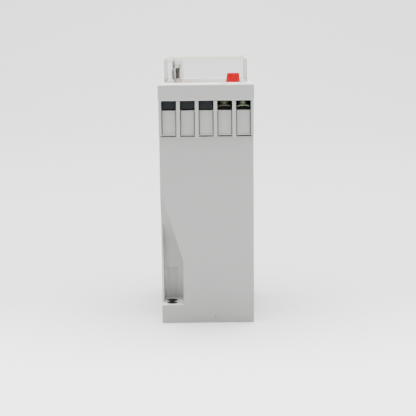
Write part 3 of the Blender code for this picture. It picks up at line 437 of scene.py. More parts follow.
@dataclass(frozen=True)
class ClearPlastic(Finish):
    """Clear plastic that has yellowed a little: it hides most where a wall runs along the line of sight, and
    is darker at its foot as painted shade.
    """

    roughness: float = 0.12
    gloss: float = 0.03
    pane: float = 0.068
    pane_colour: Colour = (0.06, 0.05, 0.065)
    rim: float = 1.05
    rim_power: float = 4.0
    inner_clear: float = 0.9
    top: float = 126.6
    top_colour: Colour = (0.2, 0.165, 0.02)
    foot_colour: Colour = (0.12, 0.105, 0.05)
    foot: float = 0.0
    foot_height: float = 3.0

    def draw(self, graph: Graph) -> None:
        """Draws the finish's nodes."""
        facing = Value(graph, graph.node("ShaderNodeLayerWeight", None, {"Blend": 0.5}).outputs["Facing"])
        outer = 1 - (graph.wear() * -1).ramp(0.0, 1.0) * self.inner_clear
        along_wall = facing ** self.rim_power * outer
        haze = graph.noise(14.0, 3.0)
        scratches = graph.noise(1.2, 5.0, graph.place((0.0, 0.0, 0.5), (1.0, 0.06, 1.0))).ramp(0.6, 0.85)
        # Painted shade: darker and less clear near the foot.
        low = 1 - graph.along(Axis.Z).ramp(self.foot * MM, (self.foot + self.foot_height) * MM)
        tone = graph.mix(haze, self.colour, shaded(self.colour, -0.1))
        tone = graph.mix(low * 0.8, tone, self.foot_colour)
        top = graph.along(Axis.Z).ramp((self.top - 0.9) * MM, (self.top - 0.1) * MM)
        tone = graph.mix(top, tone, self.top_colour)
        tone = graph.mix(along_wall.ramp(0.0, 0.4), self.pane_colour, tone)
        graph.shade(Base_Color=tone, Specular_IOR_Level=self.gloss)
        graph.shade(Roughness=self.roughness + scratches * 0.1)
        cover = self.pane + along_wall * self.rim + graph.wear().ramp(0.0, 1.0) * 0.08 + scratches * 0.02
        graph.shade(Alpha=cover + low * along_wall * 0.25)


@dataclass(frozen=True)
class BossPlastic(ClearPlastic):
    """The clear plastic of the lock's boss, dark round its outline, with painted shade at its left side."""

    side_at: float = 0.0
    side_reach: float = 1.0
    side: float = 0.6

    def draw(self, graph: Graph) -> None:
        """Draws the finish's nodes."""
        super().draw(graph)
        cover = Value(graph, graph.shader.inputs["Alpha"].links[0].from_socket)
        # Painted shade: the boss is made less clear at its left side.
        near = self.side_at * MM
        left = 1 - graph.along(Axis.X).ramp(near, near + self.side_reach * MM)
        specks = graph.noise(0.5, 4.0).ramp(0.62, 0.7)
        graph.shade(Alpha=cover + left * self.side + specks * 0.3)


@dataclass(frozen=True)
class GlassPlastic(Finish):
    """Clear plastic that bends the light, with a slight tint through its depth."""

    roughness: float = 0.05
    refraction: float = 1.49
    tint: Colour = (0.86, 0.88, 0.8)
    tint_density: float = 26.0

    def draw(self, graph: Graph) -> None:
        """Draws the finish's nodes."""
        haze = graph.noise(6.0, 3.0)
        graph.shade(Base_Color=graph.mix(haze, self.colour, shaded(self.colour, -0.03)))
        graph.shade(Roughness=self.roughness + haze * 0.03, Transmission_Weight=1.0, IOR=self.refraction)
        inputs = {"Color": solid(self.tint), "Density": self.tint_density}
        depth = graph.node("ShaderNodeVolumeAbsorption", None, inputs)
        graph.feed(graph.output.inputs["Volume"], depth.outputs[0])


@dataclass(frozen=True)
class TintedLens(Finish):
    """The tinted, slightly cloudy plastic of a lamp."""

    glow: float = 0.15

    def draw(self, graph: Graph) -> None:
        """Draws the finish's nodes."""
        cloud = graph.noise(1.5, 3.0)
        graph.shade(Base_Color=graph.mix(cloud, self.colour, shaded(self.colour, -0.2)))
        graph.shade(Roughness=0.14 + cloud * 0.1, Emission_Color=solid(self.colour))
        graph.shade(Transmission_Weight=0.35, IOR=1.5, Emission_Strength=self.glow)


@dataclass(frozen=True)
class PlatedMetal(Finish):
    """Bare or plated metal with fine brushing, dull patches and bright edges."""

    tarnish: Colour = (0.3, 0.3, 0.25)
    roughness: float = 0.32
    patches: float = 0.4

    def draw(self, graph: Graph) -> None:
        """Draws the finish's nodes."""
        brushing = graph.noise(0.5, 3.0, graph.place((0.0, 0.0, 0.7), (1.0, 0.08, 0.3)))
        patch = graph.noise(2.5, 4.0).ramp(0.35, 0.75)
        tone = graph.mix(patch * self.patches, self.colour, self.tarnish)
        bright = graph.wear() * 0.6
        graph.shade(Base_Color=graph.mix(bright, tone, shaded(self.colour, 0.25)), Metallic=1.0)
        graph.shade(Roughness=self.roughness + patch * 0.15 + (brushing - 0.5) * 0.15 - bright * 0.1)
        graph.bump(brushing, 0.008)


@dataclass(frozen=True)
class WoundWire(Finish):
    """Enamelled wire in even turns, wound along one axis."""

    axis: Axis = Axis.Z
    pitch: float = 0.35

    def draw(self, graph: Graph) -> None:
        """Draws the finish's nodes."""
        turns = (graph.along(self.axis) * (math.tau / (self.pitch * MM))).sine() * 0.5 + 0.5
        tone = graph.mix(turns.ramp(0.0, 0.5), shaded(self.colour, -0.65), self.colour)
        tone = graph.mix(graph.noise(3.0, 2.0) * 0.3, tone, shaded(self.colour, 0.3))
        graph.shade(Base_Color=tone, Roughness=0.3 + graph.noise(1.0) * 0.1, Metallic=0.7)
        graph.bump(turns, self.pitch * 0.4)


@dataclass(frozen=True)
class CircuitBoard(Finish):
    """A glass-fibre board with copper tracks under its solder mask and a light woven look."""

    tracks: Colour = (0.08, 0.33, 0.16)

    def draw(self, graph: Graph) -> None:
        """Draws the finish's nodes."""
        inputs = {"Vector": graph.place(), "Scale": 1 / (4.5 * MM), "Randomness": 0.6}
        cells = graph.node("ShaderNodeTexVoronoi", {"distance": "CHEBYCHEV", "feature": "F1"}, inputs)
        rings = (Value(graph, cells.outputs["Distance"]) * 22.0).sine().ramp(0.1, 0.35)
        weave = graph.noise(0.4, 1.0)
        tone = graph.mix(rings, self.colour, self.tracks)
        graph.shade(Base_Color=graph.mix(weave * 0.3, tone, shaded(self.colour, -0.3)))
        graph.shade(Roughness=0.32 + weave * 0.15, Coat_Weight=0.3)
        graph.bump(rings * 0.8 + weave * 0.2, 0.04)


@dataclass(frozen=True)
class Laminations(Finish):
    """A stack of varnished iron sheets, seen on its edge."""

    axis: Axis = Axis.X
    sheet: float = 0.5

    def draw(self, graph: Graph) -> None:
        """Draws the finish's nodes."""
        seams = (graph.along(self.axis) * (math.tau / (self.sheet * MM))).sine().ramp(-0.98, -0.7)
        rust = graph.noise(4.0, 5.0).ramp(0.5, 0.75)
        tone = graph.mix(seams, shaded(self.colour, -0.6), self.colour)
        graph.shade(Base_Color=graph.mix(rust * 0.35, tone, (0.2, 0.1, 0.05)), Metallic=0.8)
        graph.shade(Roughness=0.4 + rust * 0.2)
        graph.bump(seams, 0.08)


@dataclass(frozen=True)
class PrintedInk(Finish):
    """Screen-printed ink, a little uneven."""

    def draw(self, graph: Graph) -> None:
        """Draws the finish's nodes."""
        uneven = graph.noise(0.7, 3.0)
        graph.shade(Base_Color=graph.mix(uneven, self.colour, shaded(self.colour, 0.4)))
        graph.shade(Roughness=0.42 + uneven * 0.15)
        graph.bump(uneven, 0.01)


@dataclass(frozen=True)
class MattPaper(Finish):
    """The pale sweep under the object, with soft low creases and a painted pool of light across it in front
    of the object.
    """

    crease: float = 160.0
    far_shade: float = -0.32
    bright_at: float = -210.0
    bright_half: float = 80.0
    fade: float = 160.0

    def draw(self, graph: Graph) -> None:
        """Draws the finish's nodes."""
        soft = graph.noise(self.crease, 3.0)
        # Painted light: brightest in a strip in front of the object, darker further from it.
        away = (graph.along(Axis.Y) - self.bright_at * MM).absolute()
        far = away.ramp(self.bright_half * MM, (self.bright_half + self.fade) * MM)
        tone = graph.mix(far, self.colour, shaded(self.colour, self.far_shade))
        graph.shade(Base_Color=graph.mix(soft * 0.035, tone, (0.2, 0.2, 0.2)))
        graph.shade(Roughness=0.9 + soft * 0.05)
        graph.bump(soft, 6.0, 0.35)


HOUSING_GREY = ScuffedPlastic(
    "case_moulding", (0.33, 0.341, 0.325), roughness=0.5, scuff_at=(3.6, -35.2, 2.9)
)
CAP_GREY = BleachedPlastic("cap_moulding", (0.345, 0.356, 0.34), roughness=0.48)
PANEL_WHITE = MouldedPlastic("dial_plate_white", (0.74, 0.74, 0.71), roughness=0.45, grain_depth=0.008)
SELECTOR_WHITE = MouldedPlastic("selector_white", (0.78, 0.78, 0.74), roughness=0.4, grain_depth=0.008)
POINTER_RED = MouldedPlastic(
    "pointer_red", (0.6, 0.0006, 0.005), roughness=0.4, grain_depth=0.006, rub=0.25, gloss=0.07
)
BLOCK_DARK = MouldedPlastic(
    "terminal_block_dark", (0.0105, 0.0135, 0.0155), roughness=0.5, rub=0.5, gloss=0.17
)
SWITCH_BLACK = MouldedPlastic("switch_black", (0.02, 0.02, 0.022), roughness=0.4, rub=0.6)
LATCH_DARK = MouldedPlastic("latch_dark", (0.045, 0.05, 0.052), roughness=0.45, rub=0.5)
BOBBIN_CREAM = MouldedPlastic("bobbin_cream", (0.55, 0.5, 0.36), roughness=0.5)
SHEET_FIBRE = MouldedPlastic("insulating_fibre", (0.62, 0.58, 0.46), roughness=0.8, grain=0.8, cloud=0.08)
SLEEVE_BLUE = MouldedPlastic("capacitor_sleeve", (0.03, 0.06, 0.22), roughness=0.25, coat=0.4)
DIP_BLUE = MouldedPlastic("varistor_dip", (0.04, 0.16, 0.4), roughness=0.35, cloud=0.1, coat=0.5)
DIP_OCHRE = MouldedPlastic("film_capacitor_dip", (0.55, 0.3, 0.05), roughness=0.35, cloud=0.1, coat=0.5)
RESISTOR_BODY = MouldedPlastic("resistor_body", (0.42, 0.3, 0.14), roughness=0.55, cloud=0.1)
LID_CLEAR = ClearPlastic("lid_clear", (0.25, 0.2, 0.035), foot=115.6)
BOSS_CLEAR = BossPlastic(
    "lock_boss_clear",
    (0.24, 0.245, 0.21),
    rim=0.45,
    rim_power=3.0,
    inner_clear=0.4,
    foot=110.0,
    side_at=-16.0,
    side=0.42,
)
COVER_CLEAR = GlassPlastic("relay_cover_clear", (0.95, 0.96, 0.97))
LOCK_CLEAR = GlassPlastic("lock_screw_clear", (0.93, 0.95, 0.9), roughness=0.1)
LOCK_SHANK = ClearPlastic(
    "lock_screw_shank", (0.5, 0.51, 0.42), pane=0.25, pane_colour=(0.55, 0.56, 0.46), rim=0.4, foot=100.0
)
LAMP_GREEN = TintedLens("lamp_green", (0.08, 0.42, 0.12))
LAMP_YELLOW = TintedLens("lamp_yellow", (0.8, 0.52, 0.04))
# Passivated zinc's own greenish hue, darkened and tarnished as painted shade for the terminal openings.
ZINC_GREEN = PlatedMetal("passivated_zinc", (0.13, 0.16, 0.11), (0.028, 0.034, 0.02), roughness=0.3)
# Painted shade: a darker, rougher zinc that makes one terminal of each row look more shaded.
ZINC_SHADED = PlatedMetal("dulled_zinc", (0.095, 0.09, 0.065), (0.05, 0.042, 0.03), roughness=0.45)
# Painted shade: the busbars are made almost black, standing for the dark under the clamps.
BAR_SHADED = PlatedMetal("dulled_bar", (0.02, 0.021, 0.02), (0.012, 0.01, 0.008), roughness=0.6)
ZINC_BRIGHT = PlatedMetal("bright_zinc", (0.72, 0.73, 0.75), (0.4, 0.41, 0.42), roughness=0.3)
SOCKET_BRASS = PlatedMetal("socket_brass", (0.8, 0.66, 0.58), (0.5, 0.4, 0.36), roughness=0.5)
BRASS = PlatedMetal("brass", (0.75, 0.55, 0.26), (0.4, 0.26, 0.12), roughness=0.3)
SOFT_IRON = PlatedMetal("soft_iron", (0.42, 0.42, 0.43), (0.2, 0.16, 0.13), roughness=0.42)
CORE_SHEETS = Laminations("core_sheets", (0.22, 0.22, 0.23))
PRIMARY_WIRE = WoundWire("primary_wire", (0.62, 0.2, 0.08), axis=Axis.Z, pitch=0.25)
SECONDARY_WIRE = WoundWire("secondary_wire", (0.7, 0.3, 0.1), axis=Axis.Z, pitch=0.45)
RELAY_WIRE = WoundWire("relay_wire", (0.66, 0.24, 0.1), axis=Axis.Y, pitch=0.2)
BOARD_GREEN = CircuitBoard("board_green", (0.03, 0.17, 0.08))
INK_BLACK = PrintedInk("dial_ink", (0.03, 0.03, 0.035))
PAPER_WHITE = MattPaper("sweep_paper", (0.95, 0.95, 0.94))


# ----------------------------------------------------------------------- forms


class Form:
    """A mesh in the making, in millimetres."""

    # Face mark: 1 on rubbed edges, -1 on faces that get painted shade; on the lid, -1 picks its inner faces.
    EDGE = "rubbed_edge"

    def __init__(self, mesh: bmesh.types.BMesh | None = None) -> None:
        """Starts an empty form, or wraps a mesh."""
        self.mesh = mesh or bmesh.new()
        self.edge = self.mesh.faces.layers.float.get(self.EDGE) or self.mesh.faces.layers.float.new(self.EDGE)

    @classmethod
    def of_node(cls, node: str) -> "Form":
        """A copy of a node's mesh, its loose triangles merged and its flat faces made whole again.

        Args:
            node: the node's name.

        Returns:
            The copy.
        """
        mesh = bmesh.new()
        mesh.from_mesh(frame["nodes"][node].data)
        bmesh.ops.scale(mesh, vec=(1 / MM,) * 3, verts=mesh.verts)
        bmesh.ops.remove_doubles(mesh, verts=mesh.verts, dist=0.001)
        bmesh.ops.dissolve_limit(
            mesh,
            angle_limit=math.radians(0.6),
            use_dissolve_boundaries=False,
            verts=mesh.verts,
            edges=mesh.edges,
            delimit={"NORMAL"},
        )
        return cls(mesh)

    def block(self, low: Point, high: Point) -> list[bmesh.types.BMVert]:
        """Adds a box.

        Args:
            low: its lowest corner.
            high: its highest corner.

        Returns:
            Its corners.
        """
        corners = bmesh.ops.create_cube(self.mesh, size=1.0)["verts"]
        low_point, high_point = Vector(low), Vector(high)
        bmesh.ops.scale(self.mesh, vec=high_point - low_point, verts=corners)
        bmesh.ops.translate(self.mesh, vec=(low_point + high_point) / 2, verts=corners)
        return corners

    def turned(self, profile: Sequence[tuple[float, float]], centre: Vector, steps: int = 48) -> None:
        """Adds a turned shape about an upright axis.

        Args:
            profile: its radius and height at each point, from one pole to the other.
            centre: a point on the axis, whose X and Y count.
            steps: how many facets go round.
        """
        start = [self.mesh.verts.new((centre.x + r, centre.y, z)) for r, z in profile]
        lines = [self.mesh.edges.new(pair) for pair in zip(start, start[1:])]
        bmesh.ops.spin(
            self.mesh,
            geom=start + lines,
            cent=(centre.x, centre.y, 0.0),
            axis=UP,
            angle=math.tau,
            steps=steps,
            use_merge=True,
        )
        bmesh.ops.remove_doubles(self.mesh, verts=self.mesh.verts, dist=0.0005)
        bmesh.ops.recalc_face_normals(self.mesh, faces=self.mesh.faces)

    def turn(self, angle: float, centre: Vector) -> None:
        """Turns the whole form about an upright axis.

        Args:
            angle: the turn in radians.
            centre: a point on the axis.
        """
        pivot = Vector((centre.x, centre.y, 0.0))
        rotation = Matrix.Rotation(angle, 3, "Z")
        bmesh.ops.rotate(self.mesh, cent=pivot, matrix=rotation, verts=self.mesh.verts)

    def round_edges(self, width: float, steps: int, wanted: Callable[[bmesh.types.BMEdge], bool]) -> None:
        """Rounds the edges that a test picks, and marks what it makes as rubbed.

        Args:
            width: the width of the rounding.
            steps: its facets.
            wanted: the test.
        """
        edges = [edge for edge in self.mesh.edges if edge.is_manifold and wanted(edge)]
        made = bmesh.ops.bevel(
            self.mesh,
            geom=edges,
            offset=width,
            offset_type="OFFSET",
            affect="EDGES",
            segments=steps,
            profile=0.5,
            clamp_overlap=False,
            material=-1,
        )
        for face in made["faces"]:
            face[self.edge] = 1.0

    def wall(self, axis: Axis, at: float) -> list[bmesh.types.BMFace]:
        """The faces of the flat walls that stand this far from the middle along an axis.

        Args:
            axis: the walls' axis.
            at: their distance from the middle.

        Returns:
            The faces, at both ends.
        """
        return [
            face
            for face in self.mesh.faces
            if abs(face.normal[axis.value]) > 0.99
            and abs(abs(face.calc_center_median()[axis.value]) - at) < CLOSE
        ]

    def cut_wall(self, axis: Axis, at: float, cuts: Sequence[tuple[Axis, float]]) -> None:
        """Adds straight cuts to the flat walls at this distance.

        Args:
            axis: the walls' axis.
            at: their distance from the middle.
            cuts: the axis that each cut is square to, and its place.
        """
        for across, place in cuts:
            faces = self.wall(axis, at)
            edges = {edge for face in faces for edge in face.edges}
            verts = {vert for face in faces for vert in face.verts}
            point, way = Vector(), Vector()
            point[across.value], way[across.value] = place, 1.0
            bmesh.ops.bisect_plane(
                self.mesh, geom=[*faces, *edges, *verts], plane_co=point, plane_no=way, dist=0.0005
            )

    def press(self, faces: Sequence[bmesh.types.BMFace], shift: Point) -> None:
        """Presses faces in and marks the groove that they leave for painted shade.

        Args:
            faces: the faces.
            shift: how far they move.
        """
        made = bmesh.ops.extrude_face_region(self.mesh, geom=faces)["geom"]
        bmesh.ops.delete(self.mesh, geom=[face for face in faces if face.is_valid], context="FACES")
        moved = [item for item in made if isinstance(item, bmesh.types.BMVert)]
        bmesh.ops.translate(self.mesh, vec=shift, verts=moved)
        for vert in moved:
            for face in vert.link_faces:
                face[self.edge] = -1.0

    def soften(self, width: float = 0.15, steps: int = 2, least: float = 32.0) -> "Form":
        """Rounds every sharp edge that has room for it.

        Args:
            width: the width of the rounding.
            steps: its facets.
            least: the least angle of a sharp edge, in degrees.

        Returns:
            The form itself.
        """
        limit = math.radians(least)
        self.round_edges(width, steps, lambda edge: edge.calc_face_angle(0.0) > limit)
        return self

    def object(self, name: str, smooth: float = 40.0) -> bpy.types.Object:
        """Makes the form an object, in metres, smoothly shaded but for its sharp edges.

        Args:
            name: the object's name.
            smooth: the angle, in degrees, past which an edge stays sharp.

        Returns:
            The object.
        """
        bmesh.ops.scale(self.mesh, vec=(MM,) * 3, verts=self.mesh.verts)
        data = bpy.data.meshes.new(name)
        self.mesh.to_mesh(data)
        self.mesh.free()
        data.shade_smooth()
        data.set_sharp_from_angle(angle=math.radians(smooth))
        piece = bpy.data.objects.new(name, data)
        bpy.context.scene.collection.objects.link(piece)
        weighted = piece.modifiers.new("even_shading", "WEIGHTED_NORMAL")
        weighted.keep_sharp = True
        return piece


def span(node: str) -> tuple[Vector, Vector]:
    """The lowest and highest corner of a node, in millimetres."""
    low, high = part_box(node)
    return low / MM, high / MM


def pivot(joint: str) -> Vector:
    """A joint's own point, in millimetres."""
    found = next(item for item in frame["joints"] if item["name"] == joint)
    return Vector(found["pos_m"]) / MM


def level(edge: bmesh.types.BMEdge, axis: Axis, at: float) -> bool:
    """Whether both ends of an edge lie at this coordinate along an axis, on either side of the middle."""
    return all(abs(abs(vert.co[axis.value]) - abs(at)) < CLOSE for vert in edge.verts)


def runs(edge: bmesh.types.BMEdge, axis: Axis) -> bool:
    """Whether an edge runs along an axis."""
    way = edge.verts[1].co - edge.verts[0].co
    return abs(way[axis.value]) > 0.999 * way.length


# -------------------------------------------------------------- sub-assemblies


@dataclass
class SubAssembly:
    """A group of pieces that is built and dressed together."""

    made: dict[str, bpy.types.Object] = field(default_factory=dict, init=False)

    def settle(self, form: Form, name: str, body: str, slot: str, *nodes: str) -> None:
        """Makes a form a piece of the object.

        Args:
            form: the finished form.
            name: the piece's name.
            body: the body it rides on.
            slot: the record's material slot; not used.
            nodes: the nodes that it stands for.
        """
        piece = form.object(name)
        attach(piece, body)
        if nodes:
            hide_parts(*nodes)
        self.made[name] = piece

    def wear_finish(self, finish: Finish, *names: str) -> None:
        """Gives a finish to pieces of this group and to nodes of the frame.

        Args:
            finish: the finish.
            names: the pieces and nodes.
        """
        for name in names:
            piece = self.made.get(name) or frame["nodes"][name]
            piece.data.materials.clear()
            piece.data.materials.append(finish.material())

    def second_finish(self, finish: Finish, name: str, wanted: Callable[[Vector], bool]) -> None:
        """Gives part of a piece a second finish.

        Args:
            finish: the second finish.
            name: the piece.
            wanted: tests a face by its middle, in metres.
        """
        data = self.made[name].data
        data.materials.append(finish.material())
        for face in data.polygons:
            if wanted(face.center):
                face.material_index = len(data.materials) - 1

    def build(self) -> None:
        """Makes the group's new pieces."""

    def dress(self) -> None:
        """Gives every piece of the group its finish."""
        raise NotImplementedError


@dataclass
class CaseBody(SubAssembly):
    """The deep lower case with its corner lugs and rail groove."""

    edge_round: float = 0.2
    lug_x: float = 17.5
    lug_y: float = 27.5
    hole_reach: float = 5.6
    lug_top: float = 8.0
    gap_lip: float = 0.03
    gap_height: float = 0.5
    gap_depth: float = 1.0

    def build(self) -> None:
        """Softens the case's moulded edges."""
        form = Form.of_node("base_housing")
        lugs = [end.value * Vector((self.lug_x, self.lug_y, 0.0)) for end in End]
        # Painted shade: the walls of the lug holes are marked to be darkened.
        for face in form.mesh.faces:
            at = face.calc_center_median()
            near = any((at - lug).xy.length < self.hole_reach for lug in lugs)
            if near and abs(face.normal.z) < 0.1 and at.z < self.lug_top:
                face[form.edge] = -1.0
        self.cut_gap(form)
        form.soften(self.edge_round)
        self.settle(form, "case_body", "housing", "housing_grey", "base_housing")

    def cut_gap(self, form: Form) -> None:
        """Cuts the shadow gap that both end walls have just under the cap, and marks its faces for painted
        shade.

        Args:
            form: the case.
        """
        high = span("base_housing")[1]
        top = high.z - self.gap_lip
        foot = top - self.gap_height
        form.cut_wall(Axis.Y, high.y, [(Axis.Z, foot), (Axis.Z, top)])
        for end in End:
            strips = [
                face
                for face in form.wall(Axis.Y, high.y)
                if foot < face.calc_center_median().z < top and face.calc_center_median().y * end.value > 0
            ]
            form.press(strips, (0.0, -end.value * self.gap_depth, 0.0))
        bmesh.ops.recalc_face_normals(form.mesh, faces=form.mesh.faces)

    def dress(self) -> None:
        """Gives the case its grey."""
        self.wear_finish(HOUSING_GREY, "case_body")


@dataclass
class TerminalCap(SubAssembly):
    """The cap with its collar, terminal shroud and ribs."""

    edge_round: float = 0.22
    rib_tip_round: float = 0.72
    collar_foot_round: float = 0.7
    bead_height: float = 0.6
    bead_depth: float = 0.4
    groove_foot: float = 0.12
    groove_width: float = 0.3
    groove_depth: float = 0.8
    groove_top: float = 11.7
    cells: int = 5
    cell_width: float = 7.0
    cell_pitch: float = 8.75
    funnel_depth: float = 1.8
    shroud_setback: float = 0.4

    def build(self) -> None:
        """Rounds the rib tips and the collar's foot, softens the rest and adds the beads."""
        high = span("front_cap")[1]
        case_top = span("base_housing")[1].z
        form = Form.of_node("front_cap")
        tip = min(vert.co.z for vert in form.mesh.verts if abs(vert.co.y) > self.shroud_face - CLOSE)
        form.round_edges(
            self.rib_tip_round, 4, lambda edge: level(edge, Axis.Z, tip) and runs(edge, Axis.Y)
        )
        foot = min(vert.co.z for vert in form.mesh.verts if abs(vert.co.y) > high.y - CLOSE)
        form.round_edges(
            self.collar_foot_round,
            3,
            lambda edge: level(edge, Axis.Z, foot)
            and (level(edge, Axis.Y, high.y) or level(edge, Axis.X, high.x)),
        )
        self.cut_grooves(form, case_top)
        form.soften(self.edge_round)
        self.settle(form, "terminal_cap", "housing", "housing_grey", "front_cap")

        beads = Form()
        face = self.shroud_face - self.funnel_depth
        for index in range(self.cells):
            x = (index - (self.cells - 1) / 2) * self.cell_pitch
            for end in End:
                ends = sorted((end.value * (face - 0.1), end.value * (face + self.bead_depth)))
                half = self.cell_width / 2 - self.groove_width
                foot = case_top + self.groove_foot
                beads.block((x - half, ends[0], foot), (x + half, ends[1], foot + self.bead_height))
        beads.soften(0.15, 3)
        self.settle(beads, "funnel_beads", "housing", "housing_grey")

    def cut_grooves(self, form: Form, case_top: float) -> None:
        """Cuts the narrow grooves along both sides of every funnel, and marks them for painted shade.

        Args:
            form: the cap.
            case_top: the height of the case's top.
        """
        face = self.shroud_face - self.funnel_depth
        low, high = case_top + self.groove_foot, case_top + self.groove_top
        half = self.cell_width / 2
        clear = half - self.groove_width
        middles = [(index - (self.cells - 1) / 2) * self.cell_pitch for index in range(self.cells)]
        sides = [(Axis.X, x + side * clear) for x in middles for side in (-1, 1)]
        form.cut_wall(Axis.Y, face, [(Axis.Z, low), (Axis.Z, high), *sides])
        for end in End:
            strips = []
            for piece in form.wall(Axis.Y, face):
                at = piece.calc_center_median()
                aside = min(abs(at.x - x) for x in middles) > clear
                if at.y * end.value > 0 and low < at.z < high and aside:
                    strips.append(piece)
            form.press(strips, (0.0, -end.value * self.groove_depth, 0.0))
        bmesh.ops.recalc_face_normals(form.mesh, faces=form.mesh.faces)

    @property
    def shroud_face(self) -> float:
        """How far the shroud's ribs reach along Y."""
        return span("front_cap")[1].y - self.shroud_setback

    def dress(self) -> None:
        """Gives the cap its grey."""
        self.wear_finish(CAP_GREY, "terminal_cap", "funnel_beads")


@dataclass
class ClearLid(SubAssembly):
    """The lift-off lid with its lock screw and the socket under it."""

    edge_round: float = 0.18
    skin: float = 1.0
    boss_reach: float = 3.3
    shank_top: float = 121.5

    def build(self) -> None:
        """Softens the lid's edges and the lock's."""
        form = Form.of_node("clear_lid")
        reach = span("clear_lid")[1] - Vector((self.skin,) * 3)
        # The lid's inner faces take the -1 mark, which its clear finish reads to stay clear there.
        for face in form.mesh.faces:
            at = face.calc_center_median()
            if abs(at.x) < reach.x and abs(at.y) < reach.y and at.z < reach.z:
                face[form.edge] = -1.0
        form.soften(self.edge_round)
        self.settle(form, "lid_shell", "lid", "clear_plastic", "clear_lid")
        form = Form.of_node("lid_lock_screw").soften(0.12)
        self.settle(form, "lock_screw_body", "lock_screw", "bright_steel", "lid_lock_screw")
        form = Form.of_node("lock_socket").soften(0.15)
        self.settle(form, "lock_socket_sleeve", "housing", "brass", "lock_socket")

    def dress(self) -> None:
        """Gives the lid its clear plastic and the lock its metals."""
        centre = pivot("lock_turn") * MM
        self.wear_finish(LID_CLEAR, "lid_shell")
        self.second_finish(BOSS_CLEAR, "lid_shell", lambda at: (at - centre).xy.length < self.boss_reach * MM)
        self.wear_finish(LOCK_CLEAR, "lock_screw_body")
        self.second_finish(LOCK_SHANK, "lock_screw_body", lambda at: at.z < self.shank_top * MM)
        self.wear_finish(SOCKET_BRASS, "lock_socket_sleeve")


@dataclass
class TimePointer(SubAssembly):
    """The red pointer: a dished hub, a tapering arm and a raised grip with upright ribs."""

    rest_angle: float = math.radians(-28.0)
    hub_radius: float = 4.6
    hub_thick: float = 1.2
    bore_radius: float = 2.3
    arm_width: float = 3.6
    grip_inner: float = 12.0
    grip_outer: float = 18.3
    grip_width: float = 4.2
    grip_height: float = 6.3
    grip_taper: float = 0.82
    taper_centre: float = 16.78
    ribs: int = 8
    rib_depth: float = 0.22

    def build(self) -> None:
        """Makes the pointer at rest."""
        centre = pivot("time_setting")
        foot = span("time_pointer")[0].z
        hub = Form()
        top = foot + self.hub_thick
        rim, bore = self.hub_radius, self.bore_radius
        profile = [
            (bore, foot), (rim - 0.15, foot), (rim, foot + 0.15), (rim, top - 0.3), (rim - 0.3, top),
            (rim - 1.0, top), (rim - 1.3, top - 0.25),
            (bore + 0.15, top - 0.25), (bore, top - 0.4), (bore, foot),
        ]
        hub.turned(profile, centre)
        self.settle(hub, "pointer_hub", "pointer", "signal_red", "time_pointer")

        arm = Form()
        half = self.arm_width / 2
        corners = arm.block((rim - 1.2, -half, foot + 0.05), (self.grip_inner + 1.0, half, top - 0.05))
        tip = [vert for vert in corners if vert.co.x > rim]
        bmesh.ops.scale(arm.mesh, vec=(1.0, 0.85, 1.0), verts=tip)
        arm.soften(0.2, 3)
        arm.turn(self.rest_angle, centre)
        self.settle(arm, "pointer_arm", "pointer", "signal_red")

        line = Form()
        line.block((rim + 0.6, -0.3, top - 0.06), (self.grip_inner - 0.6, 0.3, top + 0.02))
        line.turn(self.rest_angle, centre)
        self.settle(line, "pointer_line", "pointer", "light_grey")
        self.settle(self.grip(centre, foot), "pointer_grip", "pointer", "signal_red")

    def grip(self, centre: Vector, foot: float) -> Form:
        """The raised grip, ribbed on both broad sides and narrower at its top.

        Args:
            centre: the pointer's axis.
            foot: the height of its underside.

        Returns:
            The grip.
        """
        form = Form()
        half = self.grip_width / 2 - self.rib_depth
        form.block((self.grip_inner, -half, foot), (self.grip_outer, half, foot + self.grip_height))
        long_edges = [edge for edge in form.mesh.edges if runs(edge, Axis.X)]
        cuts = 2 * self.ribs - 1
        bmesh.ops.subdivide_edges(form.mesh, edges=long_edges, cuts=cuts, use_grid_fill=True)
        step = (self.grip_outer - self.grip_inner) / (cuts + 1)
        for vert in form.mesh.verts:
            place = round((vert.co.x - self.grip_inner) / step)
            if place % 2 == 1 and abs(abs(vert.co.y) - half) < CLOSE:
                vert.co.y += math.copysign(self.rib_depth, vert.co.y)
        crown = [vert for vert in form.mesh.verts if vert.co.z > foot + self.grip_height - CLOSE]
        pull = Matrix.Translation((-self.taper_centre, 0.0, 0.0))
        bmesh.ops.scale(form.mesh, vec=(self.grip_taper, self.grip_taper, 1.0), verts=crown, space=pull)
        form.round_edges(0.09, 2, lambda edge: edge.calc_face_angle(0.0) > math.radians(25))
        form.turn(self.rest_angle, centre)
        return form

    def dress(self) -> None:
        """Gives the pointer its red and its white line."""
        self.wear_finish(POINTER_RED, "pointer_hub", "pointer_arm", "pointer_grip")
        self.wear_finish(SELECTOR_WHITE, "pointer_line")


